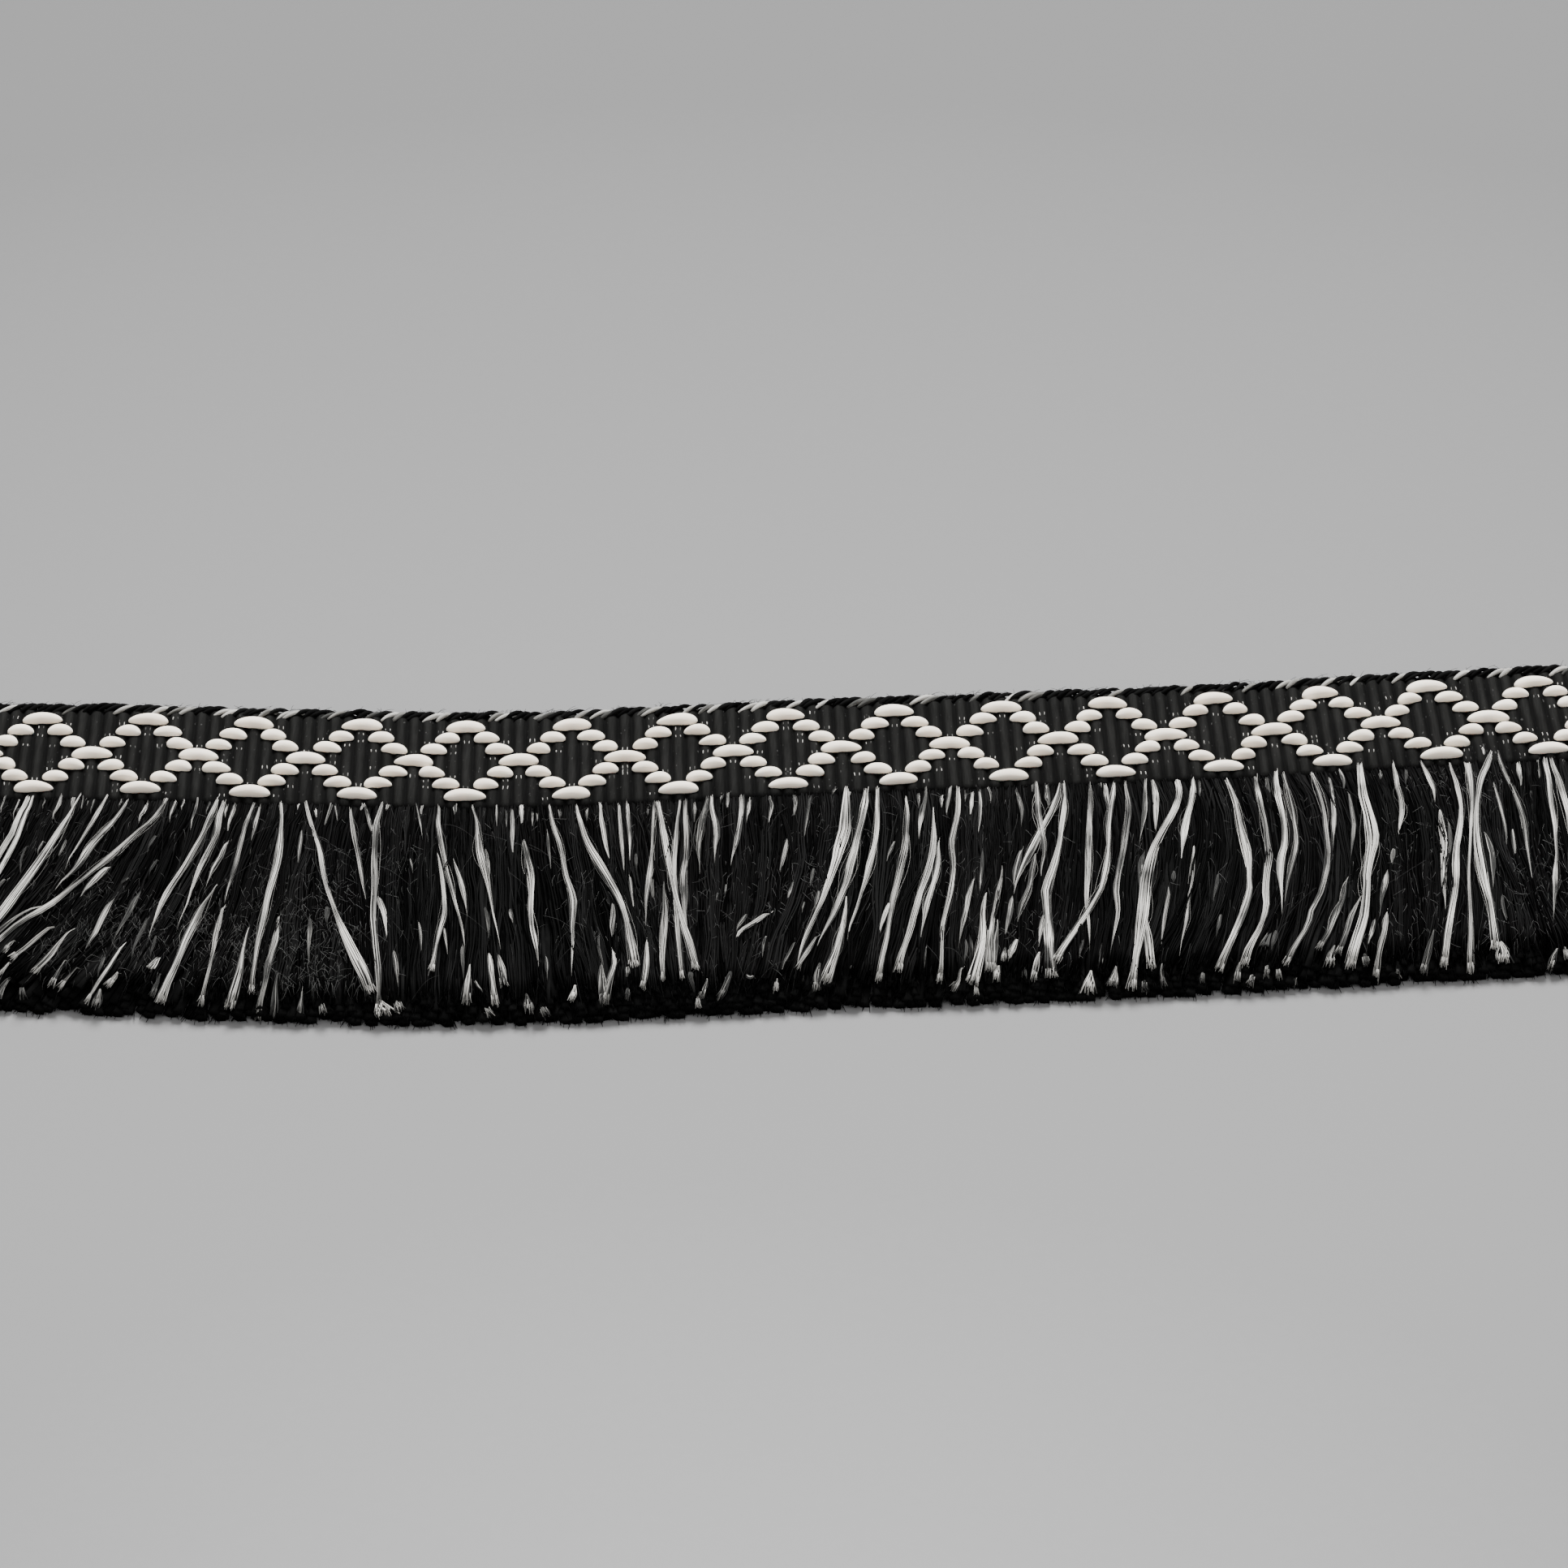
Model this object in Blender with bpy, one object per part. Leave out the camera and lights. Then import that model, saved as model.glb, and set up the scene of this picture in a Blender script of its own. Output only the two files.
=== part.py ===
"""Brush fringe: a woven heading band with a dense cut-yarn fringe on one edge.

Metres, +Z up. The band runs along X, the fringe points towards -Y, and all of
it lies on the plane z = 0 as a cut length laid out on a table. The band is
drawn along its lower edge, which bends a little sideways where the trim lies
unevenly. Distances across the band are measured from that edge.
"""
import math
import random
from collections import namedtuple

import bmesh
import bpy

# The woven pattern along the band
REPEATS = 16
REPEAT = 0.0110
RIBS_PER_REPEAT = 12
LENGTH = REPEATS * REPEAT
PATTERN_START = 0.0010

# The band's section
BAND_WIDTH = 0.0149
RIB_VALLEY = 0.00125
RIB_CREST = 0.00150
EDGE_HEIGHT = 0.00100
EDGE_ROUND = 0.00040

# The raised cream floats, in seven rows that draw the diamonds
FLOAT_ROWS = 7
FIRST_ROW = 0.00135
ROW_PITCH = 0.00183
FLOAT_WIDTH = 0.00150
FLOAT_RISE = 0.00105
LONG_FLOAT = 0.0042
SHORT_FLOAT = 0.0029
# Where a row's floats stand in the repeat, by steps from the nearest apex row
ROW_PHASES = {0: (0.0,), 1: (-0.186, 0.186), 2: (-0.314, 0.314), 3: (0.5,)}
LONG_STEPS = (0, 3)

# The fringe's root strip, and the strands in three layers that leave it
PIECE_GAP = 0.00030
STRIP_WIDTH = 0.00100
STRIP_HEIGHT = 0.00135
LAYERS = 3
GROUPS = 84
ROOT_WIDTH = 0.00036
ROOT_HEIGHT = 0.00034
ROOT_RISE = 0.00008
ROOT_STEP = 0.00042
STRAND_WIDTH = 0.00160
STRAND_HEIGHT = 0.00085
STRAND_STEP = 0.00100
STRAND_FILL = 0.80
FRINGE_LENGTH = 0.0302
LENGTH_SPREAD = 0.0009
LAYER_SHORTER = (0.0, 0.0012, 0.0034)
LAYER_SWEEP = (0.55, 0.75, 1.0)
SETTLED_AT = 0.0040
RINGS_LOW = (SETTLED_AT, 0.0165)
RINGS_TOP = (SETTLED_AT, 0.0120, 0.0210)
SWEEP_POWER = 1.35
CREAM_SHARE = 0.20
CHANCE_SEED = 11

# Half the run over which the lower edge's slope is taken
SLOPE_STEP = 0.0005
SHARP_ANGLE = math.radians(50)

# How far the band's lower edge lies from a straight line, along its length
Lie = namedtuple("Lie", "along across")
BAND_LIE = (
    Lie(-0.0880, 0.00150),
    Lie(-0.0770, 0.00145),
    Lie(-0.0660, 0.00130),
    Lie(-0.0550, 0.00075),
    Lie(-0.0440, 0.00035),
    Lie(-0.0330, 0.00008),
    Lie(-0.0220, 0.00035),
    Lie(-0.0110, 0.00120),
    Lie(0.0000, 0.00205),
    Lie(0.0230, 0.00335),
    Lie(0.0450, 0.00475),
    Lie(0.0680, 0.00685),
    Lie(0.0880, 0.00840),
)

# How the fringe is swept: the tips' shift and the mid-length bow, both along X
Sweep = namedtuple("Sweep", "along lean bow")
FRINGE_SWEEP = (
    Sweep(-0.0880, -0.0070, 0.0006),
    Sweep(-0.0780, -0.0092, 0.0008),
    Sweep(-0.0680, -0.0112, 0.0012),
    Sweep(-0.0620, -0.0098, 0.0014),
    Sweep(-0.0550, -0.0060, 0.0006),
    Sweep(-0.0470, -0.0012, -0.0004),
    Sweep(-0.0410, 0.0010, -0.0006),
    Sweep(-0.0340, 0.0008, 0.0004),
    Sweep(-0.0270, 0.0024, 0.0000),
    Sweep(-0.0205, 0.0042, 0.0004),
    Sweep(-0.0130, 0.0024, 0.0000),
    Sweep(-0.0070, 0.0000, 0.0002),
    Sweep(0.0050, -0.0044, 0.0010),
    Sweep(0.0120, -0.0032, 0.0006),
    Sweep(0.0200, -0.0018, 0.0000),
    Sweep(0.0280, -0.0030, 0.0002),
    Sweep(0.0360, -0.0028, 0.0012),
    Sweep(0.0430, -0.0048, 0.0018),
    Sweep(0.0500, -0.0030, 0.0024),
    Sweep(0.0600, -0.0014, 0.0010),
    Sweep(0.0680, -0.0008, 0.0010),
    Sweep(0.0740, 0.0014, -0.0012),
    Sweep(0.0880, 0.0000, 0.0004),
)


def clear_scene():
    """Remove whatever the file holds."""
    for thing in list(bpy.data.objects):
        bpy.data.objects.remove(thing, do_unlink=True)


def yarn_material(name, colour, roughness):
    """A dull yarn colour."""
    material = bpy.data.materials.new(name)
    material.use_nodes = True
    shader = material.node_tree.nodes["Principled BSDF"]
    shader.inputs["Base Color"].default_value = (*colour, 1.0)
    shader.inputs["Roughness"].default_value = roughness
    shader.inputs["Metallic"].default_value = 0.0
    return material


def smooth_through(rows, column, along):
    """The value at `along` of a smooth curve through one column of a table."""
    last = len(rows) - 1
    index = 0
    while index < last - 1 and along > rows[index + 1].along:
        index += 1

    def slope(k):
        low, high = rows[max(k - 1, 0)], rows[min(k + 1, last)]
        return (getattr(high, column) - getattr(low, column)) / (high.along - low.along)

    start, end = rows[index], rows[index + 1]
    span = end.along - start.along
    t = min(max((along - start.along) / span, 0.0), 1.0)
    bend_in = t * (1 - t) ** 2 * span * slope(index)
    bend_out = t * t * (t - 1) * span * slope(index + 1)
    ease = t * t * (3 - 2 * t)
    value = getattr(start, column) * (1 - ease) + getattr(end, column) * ease
    return value + bend_in + bend_out


def band_point(along, across, height):
    """A point on the band, measured square to its bent lower edge."""
    ahead = smooth_through(BAND_LIE, "across", along + SLOPE_STEP)
    behind = smooth_through(BAND_LIE, "across", along - SLOPE_STEP)
    slope = (ahead - behind) / (2 * SLOPE_STEP)
    edge = smooth_through(BAND_LIE, "across", along)
    scale = 1 / math.sqrt(1 + slope * slope)
    return (along - across * slope * scale, edge + across * scale, height)


def float_swell(along, row):
    """How much of a float's full size the cloth has here, from 0 to 1."""
    step = min(row, FLOAT_ROWS - 1 - row)
    half = (LONG_FLOAT if step in LONG_STEPS else SHORT_FLOAT) / 2
    phase = (along - PATTERN_START) / REPEAT
    best = 0.0
    for offset in ROW_PHASES[step]:
        away = abs((phase - offset + 0.5) % 1.0 - 0.5) * REPEAT
        if away < half:
            best = max(best, math.sqrt(1 - (away / half) ** 2))
    return best


def top_profile(along, on_crest):
    """Points (across, height, is_float) of the upper face, edge to edge."""
    ground = RIB_CREST if on_crest else RIB_VALLEY
    points = [(0.0, EDGE_HEIGHT, False)]
    if on_crest:
        points.append((EDGE_ROUND, ground, False))
    for row in range(FLOAT_ROWS):
        swell = float_swell(along, row)
        if swell > 0.0:
            centre = FIRST_ROW + row * ROW_PITCH
            half = FLOAT_WIDTH / 2 * swell
            points.append((centre - half, ground, False))
            points.append((centre, RIB_VALLEY + FLOAT_RISE * swell, True))
            points.append((centre + half, ground, False))
    if on_crest:
        points.append((BAND_WIDTH - EDGE_ROUND, ground, False))
    points.append((BAND_WIDTH, EDGE_HEIGHT, False))
    return points


def zip_lines(bm, first, second):
    """Fill the strip between two lines of (place, vertex) with triangles."""
    i, j = 0, 0
    while i < len(first) - 1 or j < len(second) - 1:
        take_first = j == len(second) - 1
        if not take_first and i < len(first) - 1:
            take_first = first[i + 1][0] <= second[j + 1][0]
        if take_first:
            bm.faces.new((first[i][1], first[i + 1][1], second[j][1]))
            i += 1
        else:
            bm.faces.new((first[i][1], second[j + 1][1], second[j][1]))
            j += 1


def finish_object(bm, name, materials):
    """Turn the finished bmesh into one shaded object."""
    bmesh.ops.recalc_face_normals(bm, faces=bm.faces)
    mesh = bpy.data.meshes.new(name)
    bm.to_mesh(mesh)
    bm.free()
    for material in materials:
        mesh.materials.append(material)
    mesh.shade_smooth()
    mesh.set_sharp_from_angle(angle=SHARP_ANGLE)
    thing = bpy.data.objects.new(name, mesh)
    bpy.context.collection.objects.link(thing)
    return thing


def build_heading(black, cream):
    """The band: ribs across it, floats raised in its face, a flat back."""
    bm = bmesh.new()
    columns = REPEATS * RIBS_PER_REPEAT * 2
    places = [-LENGTH / 2 + LENGTH * k / columns for k in range(columns + 1)]
    floats = set()
    lines = []
    for k, along in enumerate(places):
        line = []
        for across, height, is_float in top_profile(along, k % 2 == 1):
            vertex = bm.verts.new(band_point(along, across, height))
            line.append((across, vertex))
            if is_float:
                floats.add(vertex)
        lines.append(line)
    for first, second in zip(lines, lines[1:]):
        zip_lines(bm, first, second)
    for face in bm.faces:
        if floats.intersection(face.verts):
            face.material_index = 1

    back_step = RIBS_PER_REPEAT
    back = []
    for k in range(0, columns + 1, back_step):
        low = bm.verts.new(band_point(places[k], 0.0, 0.0))
        high = bm.verts.new(band_point(places[k], BAND_WIDTH, 0.0))
        back.append((places[k], low, high))
    for (_, low_a, high_a), (_, low_b, high_b) in zip(back, back[1:]):
        bm.faces.new((low_a, low_b, high_b, high_a))
    lower_rim = [(along, line[0][1]) for along, line in zip(places, lines)]
    upper_rim = [(along, line[-1][1]) for along, line in zip(places, lines)]
    zip_lines(bm, lower_rim, [(along, low) for along, low, _ in back])
    zip_lines(bm, upper_rim, [(along, high) for along, _, high in back])
    for line, (_, low, high) in ((lines[0], back[0]), (lines[-1], back[-1])):
        bm.faces.new([vertex for _, vertex in line] + [high, low])
    return finish_object(bm, "heading", (black, cream))


def strand_rings(root, layer, reach):
    """Centres (along, away, base, height) of a strand's sections after its root."""
    lean = smooth_through(FRINGE_SWEEP, "lean", root) * LAYER_SWEEP[layer]
    bow = smooth_through(FRINGE_SWEEP, "bow", root) * LAYER_SWEEP[layer]
    stations = list(RINGS_TOP if layer == LAYERS - 1 else RINGS_LOW) + [reach]
    rings = []
    for away in stations:
        t = away / FRINGE_LENGTH
        shift = lean * t ** SWEEP_POWER + bow * math.sin(math.pi * min(t, 1.0))
        rings.append((root + shift, away, layer * STRAND_STEP, STRAND_HEIGHT))
    return rings


def layer_strands(layer, pitch, rng):
    """All strands of one layer, each narrowed to leave its neighbours free."""
    offset = (layer + 0.5) * pitch / LAYERS
    roots = [-LENGTH / 2 + group * pitch + offset for group in range(GROUPS)]
    full = FRINGE_LENGTH - LAYER_SHORTER[layer]
    strands = []
    for root in roots:
        lean = smooth_through(FRINGE_SWEEP, "lean", root) * LAYER_SWEEP[layer]
        slack = lean * lean / (2 * full)
        reach = full - slack - rng.uniform(0, LENGTH_SPREAD)
        strands.append(strand_rings(root, layer, reach))
    sections = []
    for index, rings in enumerate(strands):
        shaped = []
        for ring, (along, away, base, height) in enumerate(rings):
            beside = [
                abs(strands[k][ring][0] - along)
                for k in (index - 1, index + 1)
                if 0 <= k < len(strands)
            ]
            half = min(STRAND_WIDTH, STRAND_FILL * min(beside)) / 2
            shaped.append((along, away, base, height, half))
        sections.append(shaped)
    return list(zip(roots, sections))


def fringe_point(along, away, height):
    """A point of the fringe, `away` from the strip's front face."""
    front = PIECE_GAP + STRIP_WIDTH
    _, edge, _ = band_point(along, 0.0, 0.0)
    return (along, edge - front - away, height)


def grow_strand(bm, root_ring, rings, material_index):
    """A three-sided strand from its root triangle to its cut tip."""
    previous = root_ring
    for along, away, base, height, half in rings:
        ring = [
            bm.verts.new(fringe_point(along - half, away, base)),
            bm.verts.new(fringe_point(along + half, away, base)),
            bm.verts.new(fringe_point(along, away, base + height)),
        ]
        for k in range(3):
            side = (previous[k], previous[k - 1], ring[k - 1], ring[k])
            bm.faces.new(side).material_index = material_index
        previous = ring
    bm.faces.new(previous).material_index = material_index


def build_fringe(black, cream):
    """The root strip and its strands, three layers deep, as one body."""
    bm = bmesh.new()
    rng = random.Random(CHANCE_SEED)
    pitch = LENGTH / GROUPS
    layers = [layer_strands(layer, pitch, rng) for layer in range(LAYERS)]

    cells = []
    for group in range(GROUPS):
        for layer in range(LAYERS):
            root, rings = layers[layer][group]
            base = ROOT_RISE + layer * ROOT_STEP
            cell = [
                bm.verts.new(fringe_point(root - ROOT_WIDTH / 2, 0.0, base)),
                bm.verts.new(fringe_point(root + ROOT_WIDTH / 2, 0.0, base)),
                bm.verts.new(fringe_point(root, 0.0, base + ROOT_HEIGHT)),
            ]
            cells.append(cell)
            is_cream = layer == LAYERS - 1 and rng.random() < CREAM_SHARE
            grow_strand(bm, cell, rings, int(is_cream))

    for (_, right, apex), (next_left, _, next_apex) in zip(cells, cells[1:]):
        bm.faces.new((right, next_left, next_apex))
        bm.faces.new((right, next_apex, apex))

    posts = []
    for group in range(GROUPS + 1):
        along = -LENGTH / 2 + group * pitch
        depths = (0.0, -STRIP_WIDTH)
        posts.append([
            bm.verts.new(fringe_point(along, depth, height))
            for depth in depths
            for height in (0.0, STRIP_HEIGHT)
        ])
    for group in range(GROUPS):
        low, high, back_low, back_high = posts[group]
        next_low, next_high, next_back_low, next_back_high = posts[group + 1]
        first = group * LAYERS
        own = cells[first:first + LAYERS]
        under = [vertex for left, right, _ in own for vertex in (left, right)]
        over = [apex for _, _, apex in own]
        if group > 0:
            under.insert(0, cells[first - 1][1])
            over.insert(0, cells[first - 1][2])
        if group == 0:
            bm.faces.new((low, own[0][0], own[0][2], high))
        if group == GROUPS - 1:
            bm.faces.new((next_low, next_high, own[-1][2], own[-1][1]))
        bm.faces.new([low, next_low] + under[::-1])
        bm.faces.new([next_high, high] + over)
        bm.faces.new((low, back_low, next_back_low, next_low))
        bm.faces.new((high, next_high, next_back_high, back_high))
        bm.faces.new((back_low, back_high, next_back_high, next_back_low))
    for low, high, back_low, back_high in (posts[0], posts[-1]):
        bm.faces.new((low, high, back_high, back_low))
    return finish_object(bm, "fringe", (black, cream))


def centre_on_origin(things):
    """Move the meshes so that the whole part's footprint is centred on 0, 0."""
    points = [vertex.co for thing in things for vertex in thing.data.vertices]
    middle_x = (min(p.x for p in points) + max(p.x for p in points)) / 2
    middle_y = (min(p.y for p in points) + max(p.y for p in points)) / 2
    for thing in things:
        for vertex in thing.data.vertices:
            vertex.co.x -= middle_x
            vertex.co.y -= middle_y


def main():
    clear_scene()
    band_black = yarn_material("band_black", (0.016, 0.016, 0.016), 0.75)
    fringe_black = yarn_material("fringe_black", (0.012, 0.012, 0.012), 0.90)
    float_cream = yarn_material("float_cream", (0.78, 0.74, 0.69), 0.70)
    yarn_cream = yarn_material("yarn_cream", (0.62, 0.61, 0.58), 0.85)
    heading = build_heading(band_black, float_cream)
    fringe = build_fringe(fringe_black, yarn_cream)
    centre_on_origin((heading, fringe))


main()
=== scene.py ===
import math
from collections import namedtuple

import bpy
import numpy as np
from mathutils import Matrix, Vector


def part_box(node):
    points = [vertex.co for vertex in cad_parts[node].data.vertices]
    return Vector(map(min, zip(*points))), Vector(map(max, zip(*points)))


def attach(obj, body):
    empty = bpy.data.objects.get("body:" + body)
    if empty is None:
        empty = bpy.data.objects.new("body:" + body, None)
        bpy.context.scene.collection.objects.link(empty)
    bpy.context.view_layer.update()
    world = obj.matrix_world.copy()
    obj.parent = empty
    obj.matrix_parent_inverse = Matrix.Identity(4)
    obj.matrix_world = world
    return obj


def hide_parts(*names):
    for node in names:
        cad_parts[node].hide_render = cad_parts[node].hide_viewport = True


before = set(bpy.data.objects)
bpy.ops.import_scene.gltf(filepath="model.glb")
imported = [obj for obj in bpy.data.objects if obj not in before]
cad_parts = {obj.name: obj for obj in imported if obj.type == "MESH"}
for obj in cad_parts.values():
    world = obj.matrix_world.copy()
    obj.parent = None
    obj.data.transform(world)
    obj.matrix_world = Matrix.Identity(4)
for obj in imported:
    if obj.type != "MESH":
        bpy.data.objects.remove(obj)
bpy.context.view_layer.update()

MM = 0.001

# The band, as the frame holds it
REPEATS = 16
REPEAT = 11.0 * MM
LENGTH = REPEATS * REPEAT
PATTERN_START = 1.0 * MM
BAND_WIDTH = 14.9 * MM
EDGE_ROUND = 0.55 * MM
EDGE_DROP = 0.75 * MM
RIBS_PER_REPEAT = 8
RIB = REPEAT / RIBS_PER_REPEAT
RIB_COLUMNS = 12
RIB_CREST = 1.50 * MM
RIB_VALLEY = 1.18 * MM
RIB_UNEVEN = 0.05 * MM
RIB_POWER = 2.4
BACK_GROOVE = 0.14 * MM

# How far the ribs lean along for each unit across, and how close to the cut
# ends they stand square to the edge again
BAND_LEAN = 0.031
SQUARE_WITHIN = 8 * MM

# The cream floats. A row's step counts from the nearer edge of the lattice.
FLOAT_ROWS = 7
FIRST_ROW = 1.35 * MM
ROW_PITCH = 1.83 * MM
ROW_PHASES = {0: (0.0,), 1: (-0.186, 0.186), 2: (-0.314, 0.314), 3: (0.5,)}
LONG_STEPS = (0, 3)
LONG_FLOAT = 4.08 * MM
SHORT_FLOAT = 2.72 * MM
SHORT_PLUMPNESS = 0.91
FLOAT_NEAR = 0.62 * MM
FLOAT_FAR = 0.80 * MM
FLOAT_TALL = 0.71 * MM
FLOAT_BELOW = 0.35 * MM
FLOAT_BASE = 1.58 * MM

# The slits of pale yarn beside a float's ends, below its row in millimetres
SLIT_ASIDE = 0.24 * MM
SLIT_HALF_WIDTH = 0.048 * MM
Slit = namedtuple("Slit", "below chance")
SLITS = (Slit(0.30, 0.45), Slit(-0.65, 0.15))

# The loops that wrap the free edge: their path, as pairs of how far past the
# edge and how high in millimetres, where the pale ones come, in shares of a
# repeat, and how far inside the black ones those lie
LOOPS_PER_REPEAT = 12
LOOP = REPEAT / LOOPS_PER_REPEAT
LOOP_HALF_WIDTH = 0.25 * MM
LOOP_PATH = (
    (-1.05, 1.30), (-0.70, 1.52), (-0.35, 1.60), (-0.05, 1.48), (0.10, 1.05), (0.05, 0.55), (-0.35, 0.25),
)
PALE_LOOPS = (-0.32, -0.23, 0.15, 0.27, 0.39)
PALE_LOOP_SHARE = 0.62
PALE_LOOP_INSET = 0.24 * MM
EDGE_HAIRS = 800
EDGE_HAIR_RADIUS = 0.026 * MM

# The fringe, by distance from the band's edge
FRINGE_REACH = 31.5 * MM
WALL = 31.1 * MM
ROOT_TUCK = 0.6 * MM
SETTLED_AT = 6.0 * MM
ROOT_TOP = 1.25 * MM
FRINGE_TOP = 2.70 * MM
TIPS_BEND_AT = 27.5 * MM
TIPS_END_AT = 31.8 * MM
TIPS_FALL = 1.4 * MM
SWEEP_POWER = 1.35

# The layers of plain black yarns, lowest first. In millimetres: the height at
# the root (level) and farther out (settled), how much shorter they are than
# the longest and how uneven. Then the width at the tip, how much of the sweep
# they take, and how much that strays.
CORE_YARNS = 190
CORE_HALF_WIDTH = 0.50 * MM
CORE_HALF_HEIGHT = 0.30 * MM
Core = namedtuple("Core", "name level settled shorter uneven tip strength stray")
CORE_LAYERS = (
    Core("fringe_low", 0.35, 0.36, 0.0, 0.40, 1.40, 0.50, 0.03),
    Core("fringe_second", 0.50, 0.86, 0.1, 0.40, 1.30, 0.60, 0.05),
    Core("fringe_third", 0.70, 1.30, 0.6, 0.30, 1.0, 0.75, 0.15),
    Core("fringe_fourth", 0.85, 1.80, 1.3, 0.30, 0.9, 0.90, 0.20),
)

# The layers of black floss over them
FLOSS_YARNS = 215
FLOSS_HALF_WIDTH = 0.42 * MM
Floss = namedtuple("Floss", "name level settled shorter uneven strength stray filaments")
FLOSS_LAYERS = (
    Floss("floss_lower", 1.02, 2.16, 1.6, 0.3, 0.95, 0.2, 5),
    Floss("floss_upper", 1.12, 2.42, 2.2, 0.3, 1.0, 0.2, 6),
)
WISPS = 70

# The fine filaments that stand out of cut tips, sizes in millimetres
TIP_INSIDE = 0.6 * MM
Brush = namedtuple("Brush", "name slot each spread length radius tone")
BRUSHES = (
    Brush("black_tips", "fringe_yarn", 7, 0.25, 0.75, 0.045, 0.2),
    Brush("pale_tips", "cream_yarn", 14, 0.10, 0.45, 0.028, 0.0),
    Brush("pale_low_tips", "cream_yarn", 6, 0.10, 0.45, 0.028, 0.0),
)

# The loose filaments on the fringe, sizes in millimetres
Hairs = namedtuple("Hairs", "name count length radius stray lift stations tone")
HAIRS = (
    Hairs("fine_hairs", 700, (2, 9), 0.018, 0.10, 0.10, 8, (-0.3, 0.6)),
    Hairs("flyaways", 120, (2, 6), 0.013, 0.55, 0.9, 12, (0.5, 1.2)),
)

# The short curly hairs: where they are thickest, and where they end
FUZZ_PATCHES = 130
FUZZ_EACH = 24
FUZZY_SHARE = 0.45
FUZZY_ALONG = (-72 * MM, -41 * MM)
FUZZY_AWAY = (13 * MM, 28 * MM)
FUZZ_END = 28.5 * MM

# The yarns that fray out of the band's cut ends
Ends = namedtuple("Ends", "name slot each radius")
END_YARNS = (
    Ends("cut_ends_black", "band_yarn", 110, 0.06),
    Ends("cut_ends_pale", "cream_yarn", 34, 0.07),
)

# The yarn materials: filaments round a yarn, their pattern's length in
# millimetres, and the rest as the shader takes it
Yarn = namedtuple("Yarn", "name dark light roughness filaments length sheen bump specular")
YARNS = (
    Yarn(
        "black_floss", (0.0002, 0.0002, 0.0002), (0.0078, 0.0078, 0.0077),
        0.85, 4.0, 1.2, 0.0, 0.00004, 0.01,
    ),
    Yarn("black_hair", (0.003, 0.003, 0.003), (0.045, 0.045, 0.044), 0.80, 2.0, 1.5, 0.0, 0.00001, 0.05),
    Yarn("pale_floss", (0.035, 0.035, 0.033), (0.78, 0.760, 0.712), 0.80, 4.0, 2.5, 0.05, 0.00003, 0.10),
    Yarn("fuzz_hair", (0.006, 0.006, 0.006), (0.135, 0.135, 0.131), 0.80, 2.0, 1.5, 0.0, 0.00001, 0.05),
)

# Metres of noise between one yarn's pattern and the next
UV_STEP = 0.0731

# The floor's greys outwards from its brightest place, in front of the trim: a painted pool of light
FLOOR_HALF = 1.5
FLOOR_FALLOFF_GREYS = ((0.0, 0.105), (0.31, 0.121), (0.39, 0.143), (0.58, 0.185), (0.78, 0.213), (0.96, 0.297))
Light = namedtuple("Light", "name place size power")
LIGHTS = (
    Light("key", (0.03, 0.62, 0.74), 0.42, 32.0),
    Light("front", (0.0, -0.35, 0.70), 0.60, 3.2),
)
SURROUND = 0.50

# The photograph's frame and the camera that took it
PHOTO_SIZE = 1932
PHOTO_FOCAL = 6257.0
PIXELS_PER_MM = 12.19
SENSOR = 36.0
CAMERA_HEIGHT_ANGLE = math.radians(39.5)
CAMERA_DISTANCE = 513.3 * MM
CAMERA_TARGET = (0.0, 3.76 * MM, 1.3 * MM)

# How the band lies, in metres: its lower edge, and how far its ribs are shifted along
Lie = namedtuple("Lie", "along across shift")
BAND_LIE = (
    Lie(-0.0880, 0.00150, 0.00030),
    Lie(-0.0770, 0.00145, 0.00028),
    Lie(-0.0660, 0.00130, 0.00025),
    Lie(-0.0550, 0.00075, 0.00012),
    Lie(-0.0440, 0.00035, 0.00012),
    Lie(-0.0330, 0.00008, -0.00003),
    Lie(-0.0220, 0.00035, -0.00032),
    Lie(-0.0110, 0.00120, -0.00050),
    Lie(0.0000, 0.00205, -0.00048),
    Lie(0.0230, 0.00335, -0.00025),
    Lie(0.0450, 0.00475, -0.00034),
    Lie(0.0680, 0.00685, -0.00015),
    Lie(0.0880, 0.00840, 0.00000),
)

# How far the fringe's tips lean along, and how far its middle bows, in metres
Sweep = namedtuple("Sweep", "along lean bow")
FRINGE_SWEEP = (
    Sweep(-0.0880, -0.0070, 0.0006),
    Sweep(-0.0780, -0.0092, 0.0008),
    Sweep(-0.0680, -0.0112, 0.0012),
    Sweep(-0.0620, -0.0098, 0.0014),
    Sweep(-0.0550, -0.0060, 0.0006),
    Sweep(-0.0470, -0.0012, -0.0004),
    Sweep(-0.0410, 0.0010, -0.0006),
    Sweep(-0.0340, 0.0008, 0.0004),
    Sweep(-0.0270, 0.0024, 0.0000),
    Sweep(-0.0205, 0.0042, 0.0004),
    Sweep(-0.0130, 0.0024, 0.0000),
    Sweep(-0.0070, 0.0000, 0.0002),
    Sweep(0.0050, -0.0044, 0.0010),
    Sweep(0.0120, -0.0032, 0.0006),
    Sweep(0.0200, -0.0018, 0.0000),
    Sweep(0.0280, -0.0030, 0.0002),
    Sweep(0.0360, -0.0028, 0.0012),
    Sweep(0.0430, -0.0048, 0.0018),
    Sweep(0.0500, -0.0030, 0.0024),
    Sweep(0.0600, -0.0014, 0.0010),
    Sweep(0.0680, -0.0008, 0.0010),
    Sweep(0.0740, 0.0014, -0.0012),
    Sweep(0.0880, 0.0000, 0.0004),
)

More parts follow.
